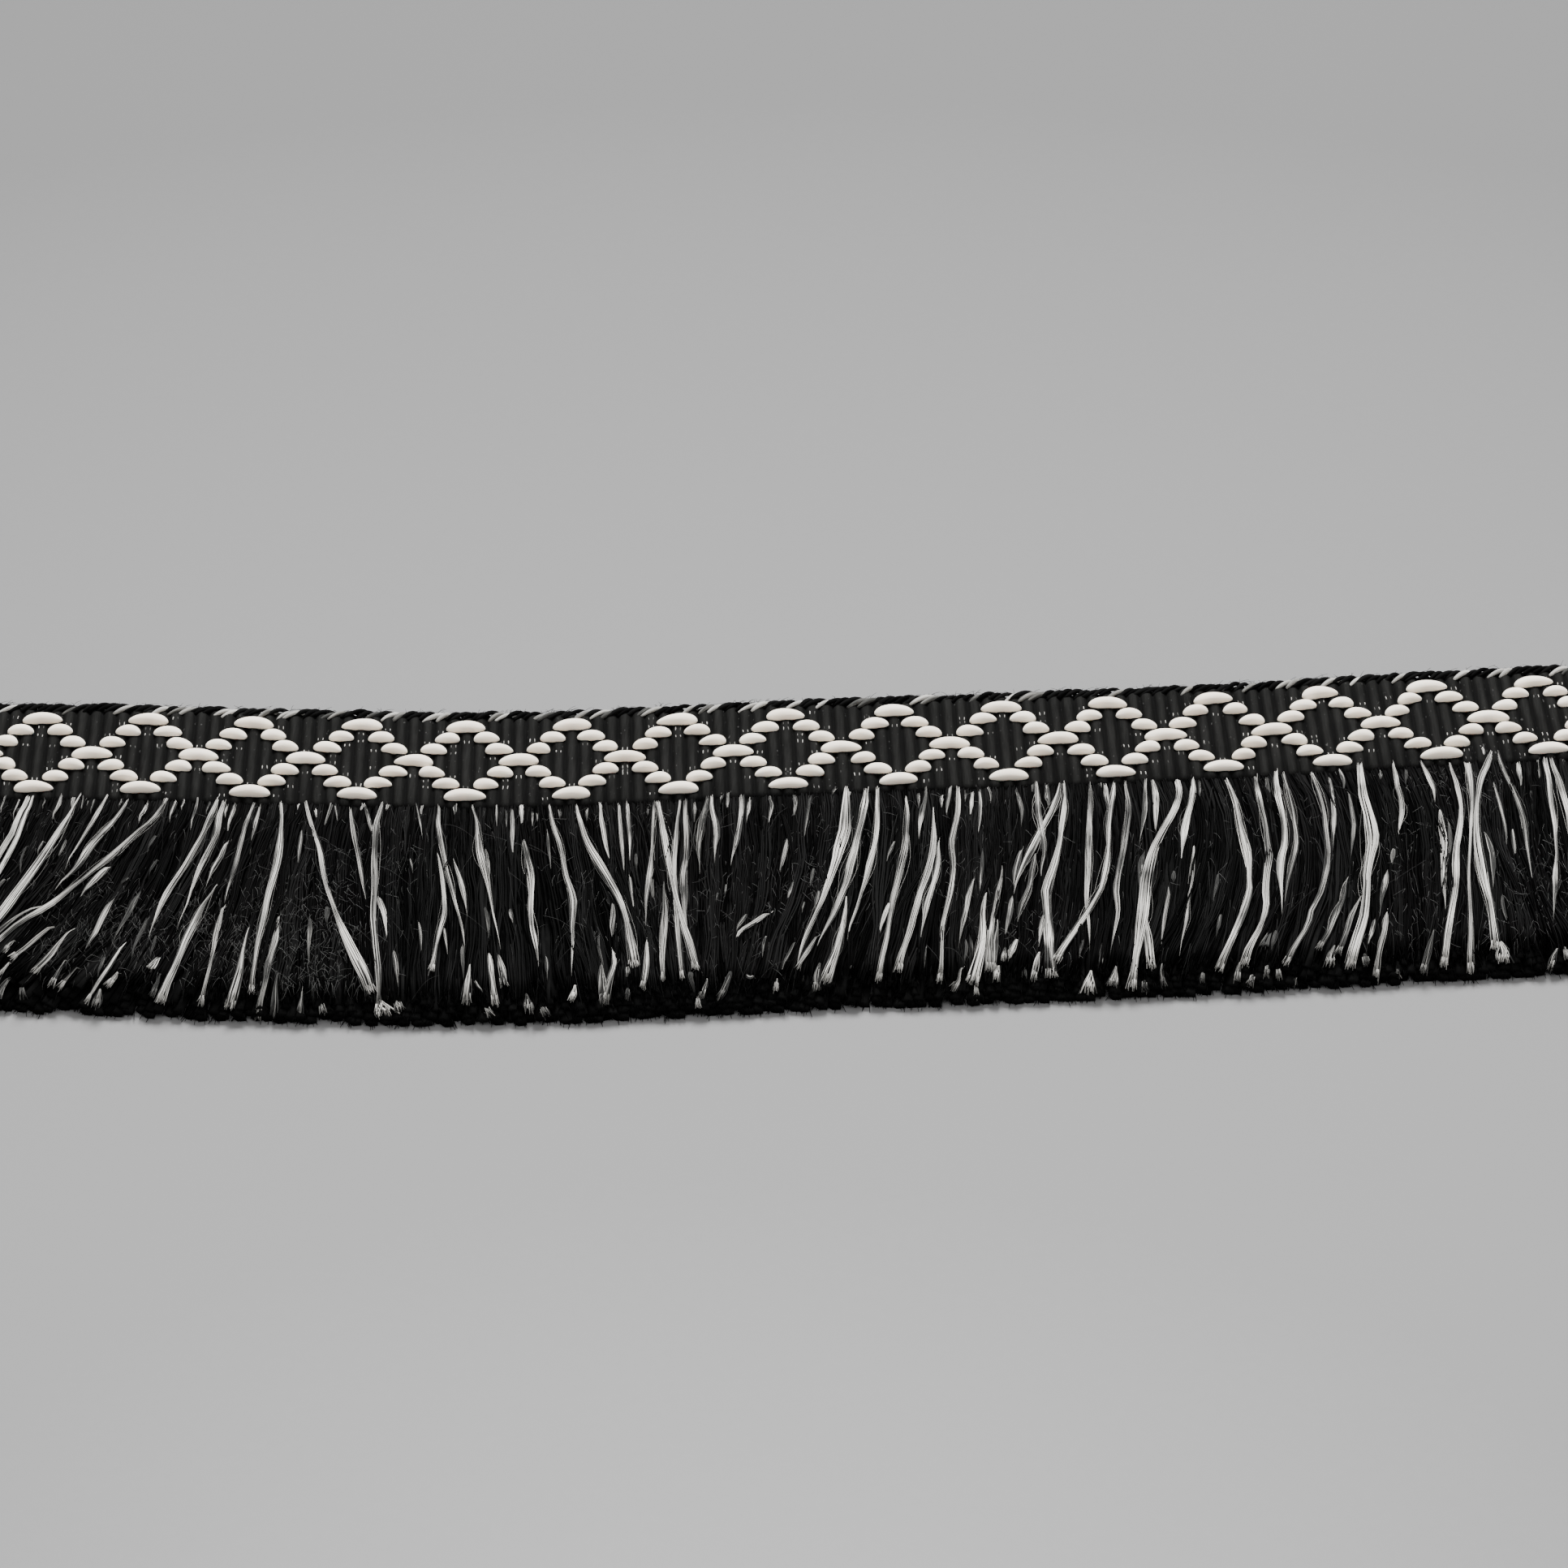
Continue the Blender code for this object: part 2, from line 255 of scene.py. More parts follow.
# Half of the length that the photograph shows, and how thick the pale yarns
# placed by chance lie along the fringe
SEEN = 79 * MM
Pale = namedtuple("Pale", "along share")
PALE_SHARES = (
    Pale(-0.0880, 0.9),
    Pale(-0.0500, 0.9),
    Pale(-0.0400, 0.3),
    Pale(-0.0260, 0.3),
    Pale(-0.0200, 0.8),
    Pale(-0.0100, 0.6),
    Pale(-0.0060, 0.2),
    Pale(0.0020, 0.3),
    Pale(0.0080, 1.0),
    Pale(0.0880, 1.0),
)

# The pale yarns on top, read off the photograph. A yarn starts at the
# band's edge (root) or from under the black ones (under), and it ends in a cut
# fan or goes under again. Tone is how light it looks, up to 1. Its path is a
# list of points, each the column and row in the photograph's 1932 by 1932
# frame and the yarn's width there in the same pixels.
TONE_SCALE = 1.43
TONE_DROP = 0.64
SLIM = 0.74
LONG_PATH = 7
LOCK_LIFT = 0.17 * MM
BRIGHT = 0.85
BRIGHT_LIFT = 0.8 * MM
Knot = namedtuple("Knot", "along x y drop width")
Lock = namedtuple("Lock", "start end tone path")
LOCKS = (
    Lock("root", "fan", 0.75, ((-66, 980, 5), (-84, 1040, 8), (-98, 1110, 12))),
    Lock("root", "under", 0.70, ((-40, 980, 5), (-62, 1030, 8), (-80, 1070, 1))),
    Lock("root", "fan", 0.75, ((-12, 982, 5), (-34, 1030, 9), (-56, 1080, 9), (-80, 1140, 12))),
    Lock("root", "under", 0.55, ((7, 982, 3), (0, 1000, 2))),
    Lock("root", "under", 0.55, ((24, 986, 3), (15, 1009, 1))),
    Lock("root", "fan", 0.78, ((35, 982, 6), (26, 1002, 7), (15, 1028, 9), (2, 1050, 9),
        (-28, 1104, 9))),
    Lock("root", "fan", 0.76, ((41, 981, 4), (33, 1003, 6), (24, 1028, 8), (10, 1056, 8),
        (-22, 1112, 9))),
    Lock("root", "under", 0.45, ((56, 987, 3), (52, 996, 2))),
    Lock("root", "under", 0.62, ((76, 981, 3), (72, 994, 5), (63, 1011, 1))),
    Lock("root", "fan", 0.80, ((99, 980, 3), (92, 993, 3), (85, 1007, 6), (71, 1028, 9), (58, 1050, 12),
        (40, 1075, 13), (22, 1100, 14), (4, 1124, 15), (-34, 1172, 15))),
    Lock("root", "under", 0.35, ((103, 984, 2), (100, 1000, 2))),
    Lock("root", "under", 0.60, ((117, 986, 3), (111, 1002, 2))),
    Lock("root", "under", 0.72, ((132, 982, 3), (124, 997, 6), (115, 1012, 6), (104, 1030, 5),
        (94, 1046, 4), (78, 1070, 1))),
    Lock("root", "under", 0.45, ((150, 987, 3), (146, 996, 2))),
    Lock("root", "under", 0.72, ((157, 987, 3), (152, 998, 6), (140, 1014, 8), (125, 1030, 10),
        (110, 1048, 12), (97, 1066, 11), (82, 1082, 8), (63, 1098, 1))),
    Lock("root", "under", 0.62, ((182, 989, 2), (177, 1002, 7), (169, 1013, 1))),
    Lock("root", "fan", 0.80, ((206, 983, 4), (199, 998, 7), (188, 1012, 8), (170, 1026, 8),
        (152, 1044, 10), (136, 1058, 12), (118, 1072, 9), (104, 1084, 7), (88, 1096, 8), (70, 1110, 9),
        (52, 1122, 10), (36, 1131, 8), (18, 1143, 9), (-2, 1160, 9), (-30, 1184, 10))),
    Lock("under", "under", 0.68, ((142, 1060, 4), (128, 1075, 11), (115, 1088, 10), (104, 1099, 6),
        (92, 1109, 1))),
    Lock("under", "fan", 0.72, ((62, 1112, 2), (45, 1118, 5), (28, 1126, 7), (12, 1138, 8),
        (-22, 1166, 9))),
    Lock("under", "under", 0.35, ((38, 1035, 1), (27, 1058, 3), (25, 1083, 1))),
    Lock("under", "under", 0.45, ((56, 1034, 1), (50, 1044, 4), (45, 1053, 1))),
    Lock("under", "under", 0.42, ((84, 1030, 1), (78, 1045, 4), (69, 1061, 1))),
    Lock("under", "under", 0.50, ((10, 1080, 2), (2, 1090, 5), (-8, 1104, 3))),
    Lock("under", "fan", 0.85, ((73, 1135, 3), (62, 1144, 8), (48, 1155, 8), (34, 1167, 7),
        (22, 1176, 7), (15, 1181, 8))),
    Lock("under", "fan", 0.62, ((22, 1157, 4), (14, 1163, 8), (6, 1172, 8))),
    Lock("under", "fan", 0.66, ((93, 1138, 1), (84, 1150, 5), (72, 1164, 8), (58, 1182, 10),
        (43, 1198, 12))),
    Lock("under", "fan", 0.66, ((16, 1182, 3), (6, 1194, 7), (-6, 1212, 9))),
    Lock("under", "fan", 0.60, ((84, 1178, 1), (76, 1192, 4), (69, 1204, 7), (64, 1214, 9))),
    Lock("under", "fan", 0.62, ((100, 1188, 1), (88, 1201, 3), (80, 1210, 6), (75, 1217, 8))),
    Lock("under", "under", 0.70, ((143, 1102, 2), (136, 1114, 7), (126, 1132, 9), (118, 1150, 9),
        (110, 1162, 7), (101, 1176, 1))),
    Lock("under", "under", 0.38, ((177, 1091, 2), (168, 1108, 7), (158, 1128, 8), (148, 1145, 5),
        (136, 1161, 1))),
    Lock("under", "fan", 0.72, ((158, 1154, 2), (150, 1168, 8), (142, 1181, 8), (132, 1197, 7),
        (120, 1214, 6), (108, 1233, 5))),
    Lock("under", "fan", 0.80, ((147, 1196, 3), (141, 1206, 8), (134, 1214, 10))),
    Lock("under", "under", 0.40, ((131, 1174, 2), (125, 1190, 5), (119, 1206, 2))),
    Lock("under", "fan", 0.42, ((124, 1214, 8), (122, 1228, 12), (118, 1240, 14))),
    Lock("under", "fan", 0.35, ((26, 1216, 6), (28, 1228, 9))),
    Lock("under", "under", 0.28, ((195, 1026, 1), (188, 1038, 5), (180, 1050, 1))),
    Lock("under", "under", 0.32, ((197, 1056, 1), (189, 1068, 4), (182, 1078, 1))),
    Lock("under", "under", 0.28, ((161, 1080, 1), (154, 1086, 4), (147, 1091, 1))),
    Lock("root", "under", 0.62, ((217, 989, 5), (213, 1000, 5), (208, 1013, 1))),
    Lock("root", "under", 0.62, ((227, 989, 4), (223, 998, 2))),
    Lock("root", "under", 0.50, ((244, 984, 2), (240, 1002, 4), (234, 1021, 1))),
    Lock("root", "under", 0.45, ((259, 990, 3), (253, 1004, 1))),
    Lock("root", "under", 0.72, ((268, 986, 4), (262, 1002, 7), (252, 1025, 8), (240, 1048, 9),
        (228, 1068, 10), (216, 1086, 9), (205, 1104, 9), (196, 1122, 8), (189, 1140, 6),
        (181, 1160, 2))),
    Lock("under", "under", 0.35, ((188, 1122, 2), (178, 1142, 5), (168, 1162, 4), (160, 1184, 1))),
    Lock("under", "under", 0.30, ((194, 1148, 1), (190, 1164, 4), (183, 1182, 1))),
    Lock("root", "under", 0.80, ((276, 988, 5), (271, 1005, 8), (268, 1025, 9), (258, 1048, 9),
        (248, 1068, 8), (240, 1086, 5), (234, 1104, 4), (229, 1120, 3), (217, 1141, 1))),
    Lock("under", "under", 0.62, ((286, 1028, 1), (277, 1044, 7), (272, 1058, 9), (264, 1070, 8),
        (257, 1084, 3), (251, 1094, 1))),
    Lock("root", "under", 0.60, ((280, 994, 4), (277, 1005, 3))),
    Lock("root", "under", 0.68, ((290, 992, 5), (285, 1008, 6), (279, 1029, 1))),
    Lock("root", "under", 0.60, ((313, 991, 4), (305, 1012, 6), (298, 1038, 6), (291, 1064, 7),
        (285, 1084, 7), (280, 1100, 5), (275, 1112, 1))),
    Lock("under", "fan", 0.72, ((273, 1080, 2), (262, 1100, 5), (250, 1118, 8), (240, 1138, 11),
        (230, 1158, 12), (221, 1180, 12), (212, 1200, 14), (204, 1218, 15), (198, 1235, 18))),
    Lock("under", "fan", 0.42, ((200, 1196, 2), (194, 1212, 6), (188, 1226, 10))),
    Lock("under", "fan", 0.66, ((278, 1110, 3), (272, 1130, 8), (267, 1150, 8), (264, 1168, 6),
        (260, 1186, 4), (255, 1206, 5), (251, 1222, 6), (248, 1236, 8))),
    Lock("under", "fan", 0.76, ((309, 1135, 2), (303, 1158, 6), (298, 1180, 8), (294, 1204, 11),
        (288, 1224, 15), (283, 1241, 19))),
    Lock("root", "under", 0.72, ((320, 995, 3), (316, 1012, 7), (313, 1026, 5), (307, 1051, 1))),
    Lock("root", "fan", 0.74, ((346, 991, 5), (347, 1010, 6), (346, 1030, 8), (344, 1050, 11),
        (341, 1068, 10), (336, 1086, 9), (330, 1106, 8), (326, 1126, 8), (322, 1145, 8), (317, 1165, 7),
        (314, 1186, 6), (311, 1206, 7), (309, 1222, 11))),
    Lock("under", "fan", 0.68, ((346, 1120, 2), (342, 1140, 7), (340, 1158, 9), (335, 1176, 8),
        (330, 1192, 9), (327, 1210, 7), (322, 1230, 8), (318, 1255, 13))),
    Lock("under", "under", 0.45, ((372, 1016, 1), (371, 1034, 5), (369, 1050, 5), (366, 1070, 1))),
    Lock("root", "fan", 0.78, ((377, 989, 4), (381, 1008, 6), (387, 1028, 6), (393, 1046, 6),
        (396, 1062, 8), (399, 1080, 7), (404, 1100, 6), (411, 1118, 6), (418, 1136, 9), (426, 1154, 12),
        (436, 1174, 15), (447, 1196, 17), (457, 1222, 15))),
    Lock("root", "under", 0.72, ((389, 1000, 4), (390, 1008, 3))),
    Lock("root", "under", 0.30, ((413, 993, 3), (416, 1012, 2))),
    Lock("root", "under", 0.66, ((432, 998, 4), (434, 1015, 6), (437, 1035, 7), (441, 1056, 6),
        (445, 1076, 6), (448, 1094, 5), (452, 1114, 1))),
    Lock("root", "under", 0.70, ((450, 995, 3), (453, 1006, 6), (457, 1020, 6), (460, 1032, 3))),
    Lock("root", "fan", 0.76, ((472, 987, 3), (467, 1005, 7), (463, 1020, 9), (462, 1040, 9),
        (461, 1062, 9), (462, 1086, 9), (461, 1110, 9), (460, 1130, 9), (462, 1152, 8), (464, 1176, 9),
        (466, 1196, 10), (467, 1216, 8), (467, 1232, 6), (468, 1246, 14))),
    Lock("under", "under", 0.62, ((464, 1096, 3), (468, 1110, 9), (473, 1124, 9), (475, 1140, 5),
        (477, 1157, 1))),
    Lock("under", "fan", 0.70, ((466, 1228, 5), (470, 1240, 16), (474, 1250, 26))),
    Lock("under", "fan", 0.45, ((488, 1232, 4), (492, 1244, 14))),
    Lock("under", "under", 0.38, ((381, 1123, 2), (382, 1140, 6), (381, 1158, 5), (380, 1196, 1))),
    Lock("under", "under", 0.24, ((402, 1112, 2), (403, 1126, 7), (402, 1142, 1))),
    Lock("under", "under", 0.50, ((483, 1163, 1), (487, 1184, 7), (489, 1200, 5), (491, 1219, 1))),
    Lock("under", "fan", 0.66, ((372, 1213, 2), (372, 1228, 5), (370, 1242, 9), (369, 1257, 13))),
    Lock("under", "fan", 0.35, ((344, 1190, 1), (340, 1215, 6), (338, 1240, 11), (337, 1257, 14))),
    Lock("under", "fan", 0.42, ((396, 1236, 4), (398, 1247, 10))),
    Lock("root", "under", 0.32, ((513, 992, 1), (517, 1012, 3), (521, 1034, 1))),
    Lock("under", "under", 0.38, ((504, 1055, 1), (507, 1066, 3), (509, 1078, 1))),
    Lock("under", "under", 0.42, ((514, 1128, 1), (518, 1150, 4), (519, 1178, 1))),
    Lock("root", "under", 0.66, ((541, 995, 3), (540, 1015, 7), (543, 1036, 8), (547, 1056, 7),
        (551, 1076, 6), (556, 1096, 6), (561, 1114, 5), (566, 1132, 5), (570, 1148, 7),
        (573, 1170, 1))),
    Lock("under", "fan", 0.72, ((537, 1043, 1), (541, 1060, 6), (545, 1080, 7), (547, 1100, 6),
        (548, 1118, 8), (547, 1132, 9), (543, 1146, 7), (538, 1166, 5), (535, 1184, 7),
        (532, 1196, 9))),
    Lock("under", "under", 0.42, ((547, 1138, 2), (549, 1156, 4), (552, 1178, 1))),
    Lock("under", "under", 0.55, ((558, 1054, 1), (562, 1070, 7), (568, 1088, 7), (572, 1106, 5),
        (576, 1129, 1))),
    Lock("under", "under", 0.40, ((570, 1158, 2), (570, 1180, 7), (571, 1204, 2))),
    Lock("under", "fan", 0.55, ((580, 1180, 2), (578, 1200, 7), (576, 1216, 12), (574, 1234, 15))),
    Lock("under", "under", 0.45, ((584, 1206, 2), (590, 1218, 4), (598, 1223, 1))),
    Lock("root", "under", 0.72, ((582, 995, 3), (587, 1012, 6), (589, 1032, 8), (591, 1052, 10),
        (596, 1070, 12), (600, 1086, 8), (604, 1106, 5), (608, 1128, 4), (613, 1150, 4),
        (617, 1167, 1))),
    Lock("under", "under", 0.45, ((597, 1036, 1), (600, 1056, 5), (602, 1076, 5), (602, 1092, 1))),
    Lock("under", "under", 0.40, ((595, 1110, 1), (600, 1130, 6), (602, 1146, 5), (602, 1160, 1))),
    Lock("under", "fan", 0.72, ((601, 1166, 5), (604, 1186, 10), (606, 1206, 9), (608, 1222, 10),
        (610, 1236, 12))),
    Lock("under", "fan", 0.66, ((612, 1170, 5), (616, 1186, 9), (619, 1200, 11), (621, 1213, 12))),
    Lock("under", "fan", 0.45, ((600, 1242, 5), (604, 1250, 11))),
    Lock("root", "under", 0.66, ((612, 994, 2), (612, 1006, 4), (612, 1018, 1))),
    Lock("root", "under", 0.34, ((624, 1002, 3), (624, 1018, 2))),
    Lock("root", "under", 0.64, ((631, 999, 4), (631, 1015, 6), (631, 1036, 5), (632, 1056, 2))),
    Lock("under", "under", 0.45, ((628, 1116, 1), (630, 1129, 6), (633, 1139, 1))),
    Lock("root", "under", 0.80, ((642, 993, 7), (643, 1006, 6), (643, 1020, 3))),
    Lock("under", "under", 0.76, ((643, 1024, 3), (646, 1040, 11), (650, 1060, 12), (654, 1080, 11),
        (655, 1100, 7), (654, 1120, 7), (655, 1140, 7), (659, 1160, 9), (662, 1176, 8),
        (664, 1199, 1))),
    Lock("root", "under", 0.50, ((656, 1002, 4), (656, 1018, 2))),
    Lock("root", "under", 0.40, ((662, 1004, 3), (662, 1014, 2))),
    Lock("under", "under", 0.32, ((674, 1020, 1), (676, 1044, 4), (679, 1072, 1))),
    Lock("under", "fan", 0.50, ((647, 1220, 4), (650, 1233, 10), (652, 1246, 17))),
    Lock("under", "fan", 0.40, ((668, 1240, 8), (672, 1251, 14))),
    Lock("root", "under", 0.74, ((677, 993, 3), (680, 1010, 5), (684, 1025, 6), (690, 1042, 5),
        (694, 1060, 6), (697, 1078, 6), (702, 1095, 9), (706, 1110, 12), (706, 1126, 10),
        (705, 1142, 9), (706, 1160, 10), (705, 1178, 8), (704, 1200, 1))),
    Lock("under", "under", 0.30, ((672, 1173, 1), (674, 1190, 5), (674, 1206, 1))),
    Lock("root", "under", 0.50, ((690, 1001, 5), (690, 1009, 3))),
    Lock("under", "fan", 0.88, ((709, 1211, 3), (708, 1221, 7), (705, 1232, 10))),
    Lock("root", "under", 0.50, ((723, 1000, 5), (723, 1011, 3))),
    Lock("root", "fan", 0.72, ((710, 993, 4), (714, 1010, 6), (720, 1030, 8), (728, 1048, 10),
        (738, 1065, 12), (748, 1082, 13), (757, 1098, 12), (764, 1112, 10), (769, 1126, 8),
        (773, 1142, 9), (776, 1160, 12), (779, 1175, 15), (781, 1190, 16))),
    Lock("root", "under", 0.68, ((740, 992, 4), (741, 1010, 6), (744, 1030, 7), (747, 1045, 7),
        (753, 1064, 1))),
    Lock("root", "under", 0.68, ((763, 994, 4), (764, 1015, 5), (766, 1036, 6), (768, 1058, 5),
        (769, 1079, 1))),
    Lock("root", "under", 0.72, ((773, 990, 5), (774, 1010, 6), (776, 1030, 5), (776, 1052, 3),
        (776, 1064, 1))),
    Lock("under", "under", 0.62, ((775, 1072, 2), (777, 1090, 5), (779, 1108, 3), (782, 1124, 1))),
    Lock("under", "under", 0.46, ((754, 1104, 2), (756, 1126, 6), (754, 1145, 6), (756, 1163, 1))),
    Lock("under", "fan", 0.60, ((753, 1162, 2), (756, 1176, 9), (757, 1190, 10), (752, 1206, 10),
        (748, 1220, 12), (746, 1233, 14))),
    Lock("under", "fan", 0.52, ((741, 1182, 2), (741, 1196, 8), (742, 1212, 10), (743, 1234, 12))),
    Lock("under", "under", 0.50, ((773, 1189, 2), (774, 1198, 7), (771, 1205, 2))),
    Lock("under", "fan", 0.36, ((774, 1216, 4), (773, 1228, 7))),
    Lock("under", "under", 0.24, ((783, 1048, 1), (784, 1060, 5), (784, 1074, 1))),
    Lock("root", "under", 0.45, ((798, 997, 4), (798, 1006, 3))),
    Lock("root", "under", 0.60, ((806, 990, 4), (805, 1012, 5), (804, 1034, 5), (803, 1052, 6),
        (801, 1072, 9), (798, 1092, 9), (796, 1112, 7), (796, 1130, 5), (795, 1144, 1))),
    Lock("under", "fan", 0.62, ((797, 1150, 2), (797, 1170, 8), (797, 1186, 9), (795, 1201, 8),
        (792, 1217, 8))),
    Lock("under", "fan", 0.66, ((818, 1080, 1), (818, 1100, 6), (819, 1120, 8), (818, 1140, 9),
        (817, 1160, 9), (816, 1182, 8), (817, 1206, 6))),
    Lock("root", "fan", 0.72, ((811, 989, 6), (815, 1010, 8), (819, 1034, 10), (823, 1060, 10),
        (827, 1082, 9), (831, 1102, 9), (837, 1122, 8), (842, 1141, 10), (848, 1160, 12),
        (853, 1178, 12), (857, 1192, 11))),
    Lock("root", "fan", 0.70, ((838, 988, 4), (835, 1010, 5), (833, 1034, 7), (831, 1060, 7),
        (831, 1084, 7), (832, 1106, 7), (834, 1130, 7), (836, 1156, 8), (838, 1180, 7),
        (840, 1204, 6))),
    Lock("root", "under", 0.66, ((845, 987, 5), (845, 1010, 7), (846, 1036, 8), (845, 1060, 8),
        (842, 1082, 8), (843, 1106, 8), (844, 1128, 8), (849, 1158, 2))),
    Lock("root", "under", 0.50, ((856, 992, 4), (856, 1003, 5), (855, 1013, 2))),
    Lock("under", "under", 0.42, ((852, 1194, 7), (851, 1206, 8), (857, 1224, 3))),
    Lock("under", "fan", 0.62, ((860, 1226, 5), (860, 1239, 7))),
    Lock("under", "fan", 0.55, ((872, 1202, 3), (870, 1214, 7), (864, 1227, 10))),
    Lock("root", "under", 0.56, ((872, 984, 4), (868, 1000, 7), (864, 1018, 8), (861, 1036, 8),
        (861, 1052, 6), (862, 1066, 3), (862, 1080, 1))),
    Lock("root", "under", 0.72, ((877, 984, 4), (878, 1000, 6), (882, 1018, 8), (883, 1034, 8),
        (881, 1047, 5), (881, 1065, 1))),
    Lock("root", "under", 0.42, ((890, 980, 5), (888, 988, 3))),
    Lock("root", "under", 0.45, ((897, 980, 5), (896, 998, 3))),
    Lock("root", "under", 0.74, ((914, 981, 6), (914, 998, 7), (912, 1015, 8), (909, 1032, 9),
        (905, 1048, 6), (899, 1069, 1))),
    Lock("root", "under", 0.62, ((924, 986, 5), (922, 1000, 5), (919, 1014, 1))),
    Lock("root", "under", 0.60, ((948, 983, 4), (951, 994, 6), (950, 1003, 5), (945, 1021, 1))),
    Lock("root", "under", 0.60, ((979, 982, 6), (980, 995, 6), (977, 1008, 1))),
    Lock("root", "under", 0.36, ((998, 984, 4), (996, 1000, 4), (990, 1036, 1))),
    Lock("under", "under", 0.60, ((973, 1023, 1), (969, 1042, 5), (966, 1056, 7), (963, 1067, 7),
        (958, 1078, 1))),
    Lock("under", "under", 0.55, ((979, 1082, 1), (974, 1098, 5), (969, 1110, 2))),
    Lock("under", "under", 0.32, ((1003, 1064, 1), (1001, 1080, 5), (997, 1098, 1))),
    Lock("under", "under", 0.32, ((992, 1110, 2), (988, 1123, 4))),
    Lock("under", "under", 0.26, ((895, 1088, 2), (893, 1105, 4))),
    Lock("under", "under", 0.30, ((885, 1098, 2), (882, 1114, 2))),
    Lock("under", "under", 0.98, ((953, 1119, 3), (944, 1128, 8), (934, 1136, 8), (923, 1143, 8),
        (913, 1150, 8), (902, 1162, 3))),
    Lock("under", "under", 0.45, ((923, 1123, 1), (916, 1134, 7), (910, 1142, 5), (905, 1150, 1))),
    Lock("under", "under", 0.36, ((946, 1149, 1), (941, 1165, 4), (939, 1180, 1))),
    Lock("under", "under", 0.36, ((983, 1154, 1), (972, 1176, 5), (961, 1198, 2))),
    Lock("under", "fan", 0.38, ((902, 1192, 6), (898, 1206, 9), (888, 1229, 9))),
    Lock("under", "under", 0.36, ((917, 1200, 2), (924, 1206, 6), (932, 1202, 2))),
    Lock("under", "fan", 0.58, ((958, 1204, 3), (956, 1220, 8))),
    Lock("root", "under", 0.42, ((1030, 972, 5), (1025, 979, 4))),
    Lock("root", "under", 0.80, ((1043, 972, 8), (1042, 990, 12), (1041, 1010, 16), (1040, 1026, 17),
        (1034, 1045, 15), (1030, 1062, 11), (1024, 1080, 9), (1017, 1100, 8), (1009, 1120, 8),
        (1001, 1138, 8), (992, 1156, 9), (987, 1170, 9), (981, 1196, 3))),
    Lock("under", "under", 0.42, ((1010, 1092, 1), (1007, 1108, 6), (1002, 1125, 1))),
    Lock("under", "fan", 0.60, ((1011, 1146, 2), (1003, 1160, 7), (995, 1173, 7), (984, 1192, 5))),
    Lock("root", "under", 0.78, ((1067, 974, 6), (1066, 990, 11), (1062, 1010, 10), (1057, 1030, 9),
        (1053, 1050, 11), (1048, 1068, 13), (1044, 1086, 12), (1037, 1104, 10), (1028, 1126, 11),
        (1019, 1142, 9), (1012, 1155, 6), (1004, 1169, 1))),
    Lock("under", "fan", 0.78, ((1043, 1096, 3), (1042, 1120, 5), (1039, 1138, 6), (1036, 1153, 9),
        (1032, 1170, 12), (1026, 1188, 16), (1018, 1208, 21))),
    Lock("under", "fan", 0.45, ((1012, 1182, 3), (1008, 1197, 9), (1006, 1219, 14))),
    Lock("root", "under", 0.74, ((1081, 973, 5), (1081, 995, 7), (1081, 1015, 7), (1079, 1035, 7),
        (1076, 1050, 8), (1071, 1066, 9), (1067, 1082, 7), (1062, 1098, 5), (1057, 1116, 6),
        (1053, 1128, 8), (1048, 1140, 7), (1043, 1162, 1))),
    Lock("under", "under", 0.42, ((1105, 1031, 1), (1098, 1048, 5), (1091, 1064, 1))),
    Lock("root", "fan", 0.76, ((1116, 984, 2), (1118, 1004, 7), (1117, 1025, 7), (1116, 1042, 9),
        (1112, 1060, 11), (1108, 1078, 10), (1104, 1094, 9), (1100, 1110, 10), (1098, 1124, 9),
        (1095, 1142, 8), (1092, 1160, 8), (1088, 1176, 8), (1083, 1207, 11))),
    Lock("under", "under", 0.62, ((1100, 1104, 3), (1094, 1120, 6), (1088, 1136, 6), (1082, 1152, 2))),
    Lock("root", "under", 0.48, ((1141, 972, 3), (1140, 986, 6), (1136, 1002, 7), (1133, 1018, 6),
        (1132, 1036, 5))),
    Lock("root", "under", 0.50, ((1132, 981, 5), (1132, 995, 2))),
    Lock("under", "fan", 0.84, ((1150, 990, 1), (1150, 1010, 6), (1151, 1030, 8), (1149, 1050, 8),
        (1146, 1066, 9), (1141, 1082, 9), (1135, 1098, 10), (1130, 1115, 10), (1125, 1132, 9),
        (1121, 1148, 8), (1116, 1163, 7), (1111, 1178, 9), (1107, 1195, 12))),
    Lock("under", "under", 0.68, ((1158, 1028, 1), (1156, 1046, 6), (1156, 1062, 9), (1153, 1080, 10),
        (1147, 1100, 9), (1142, 1116, 8), (1139, 1132, 7), (1133, 1162, 1))),
    Lock("root", "under", 0.58, ((1160, 984, 6), (1160, 996, 3))),
    Lock("root", "under", 0.60, ((1171, 971, 4), (1168, 990, 6), (1165, 1010, 1))),
    Lock("root", "fan", 0.74, ((1180, 971, 5), (1181, 986, 7), (1180, 1004, 7), (1176, 1020, 7),
        (1172, 1036, 8), (1173, 1052, 8), (1175, 1066, 7), (1174, 1082, 6), (1172, 1096, 7),
        (1169, 1111, 7), (1165, 1126, 6), (1161, 1144, 6), (1160, 1176, 5), (1159, 1192, 7),
        (1157, 1208, 10))),
    Lock("root", "under", 0.45, ((1190, 979, 4), (1189, 988, 3))),
    Lock("root", "under", 0.64, ((1198, 977, 5), (1197, 992, 6), (1195, 1007, 2))),
    Lock("root", "under", 0.36, ((1207, 975, 4), (1208, 995, 6), (1207, 1016, 5), (1203, 1035, 1))),
    Lock("under", "under", 0.70, ((1202, 1076, 1), (1197, 1092, 8), (1193, 1105, 8), (1191, 1120, 7),
        (1187, 1138, 7), (1180, 1168, 1))),
    Lock("under", "fan", 0.84, ((1217, 1092, 1), (1213, 1110, 8), (1211, 1126, 8), (1211, 1142, 9),
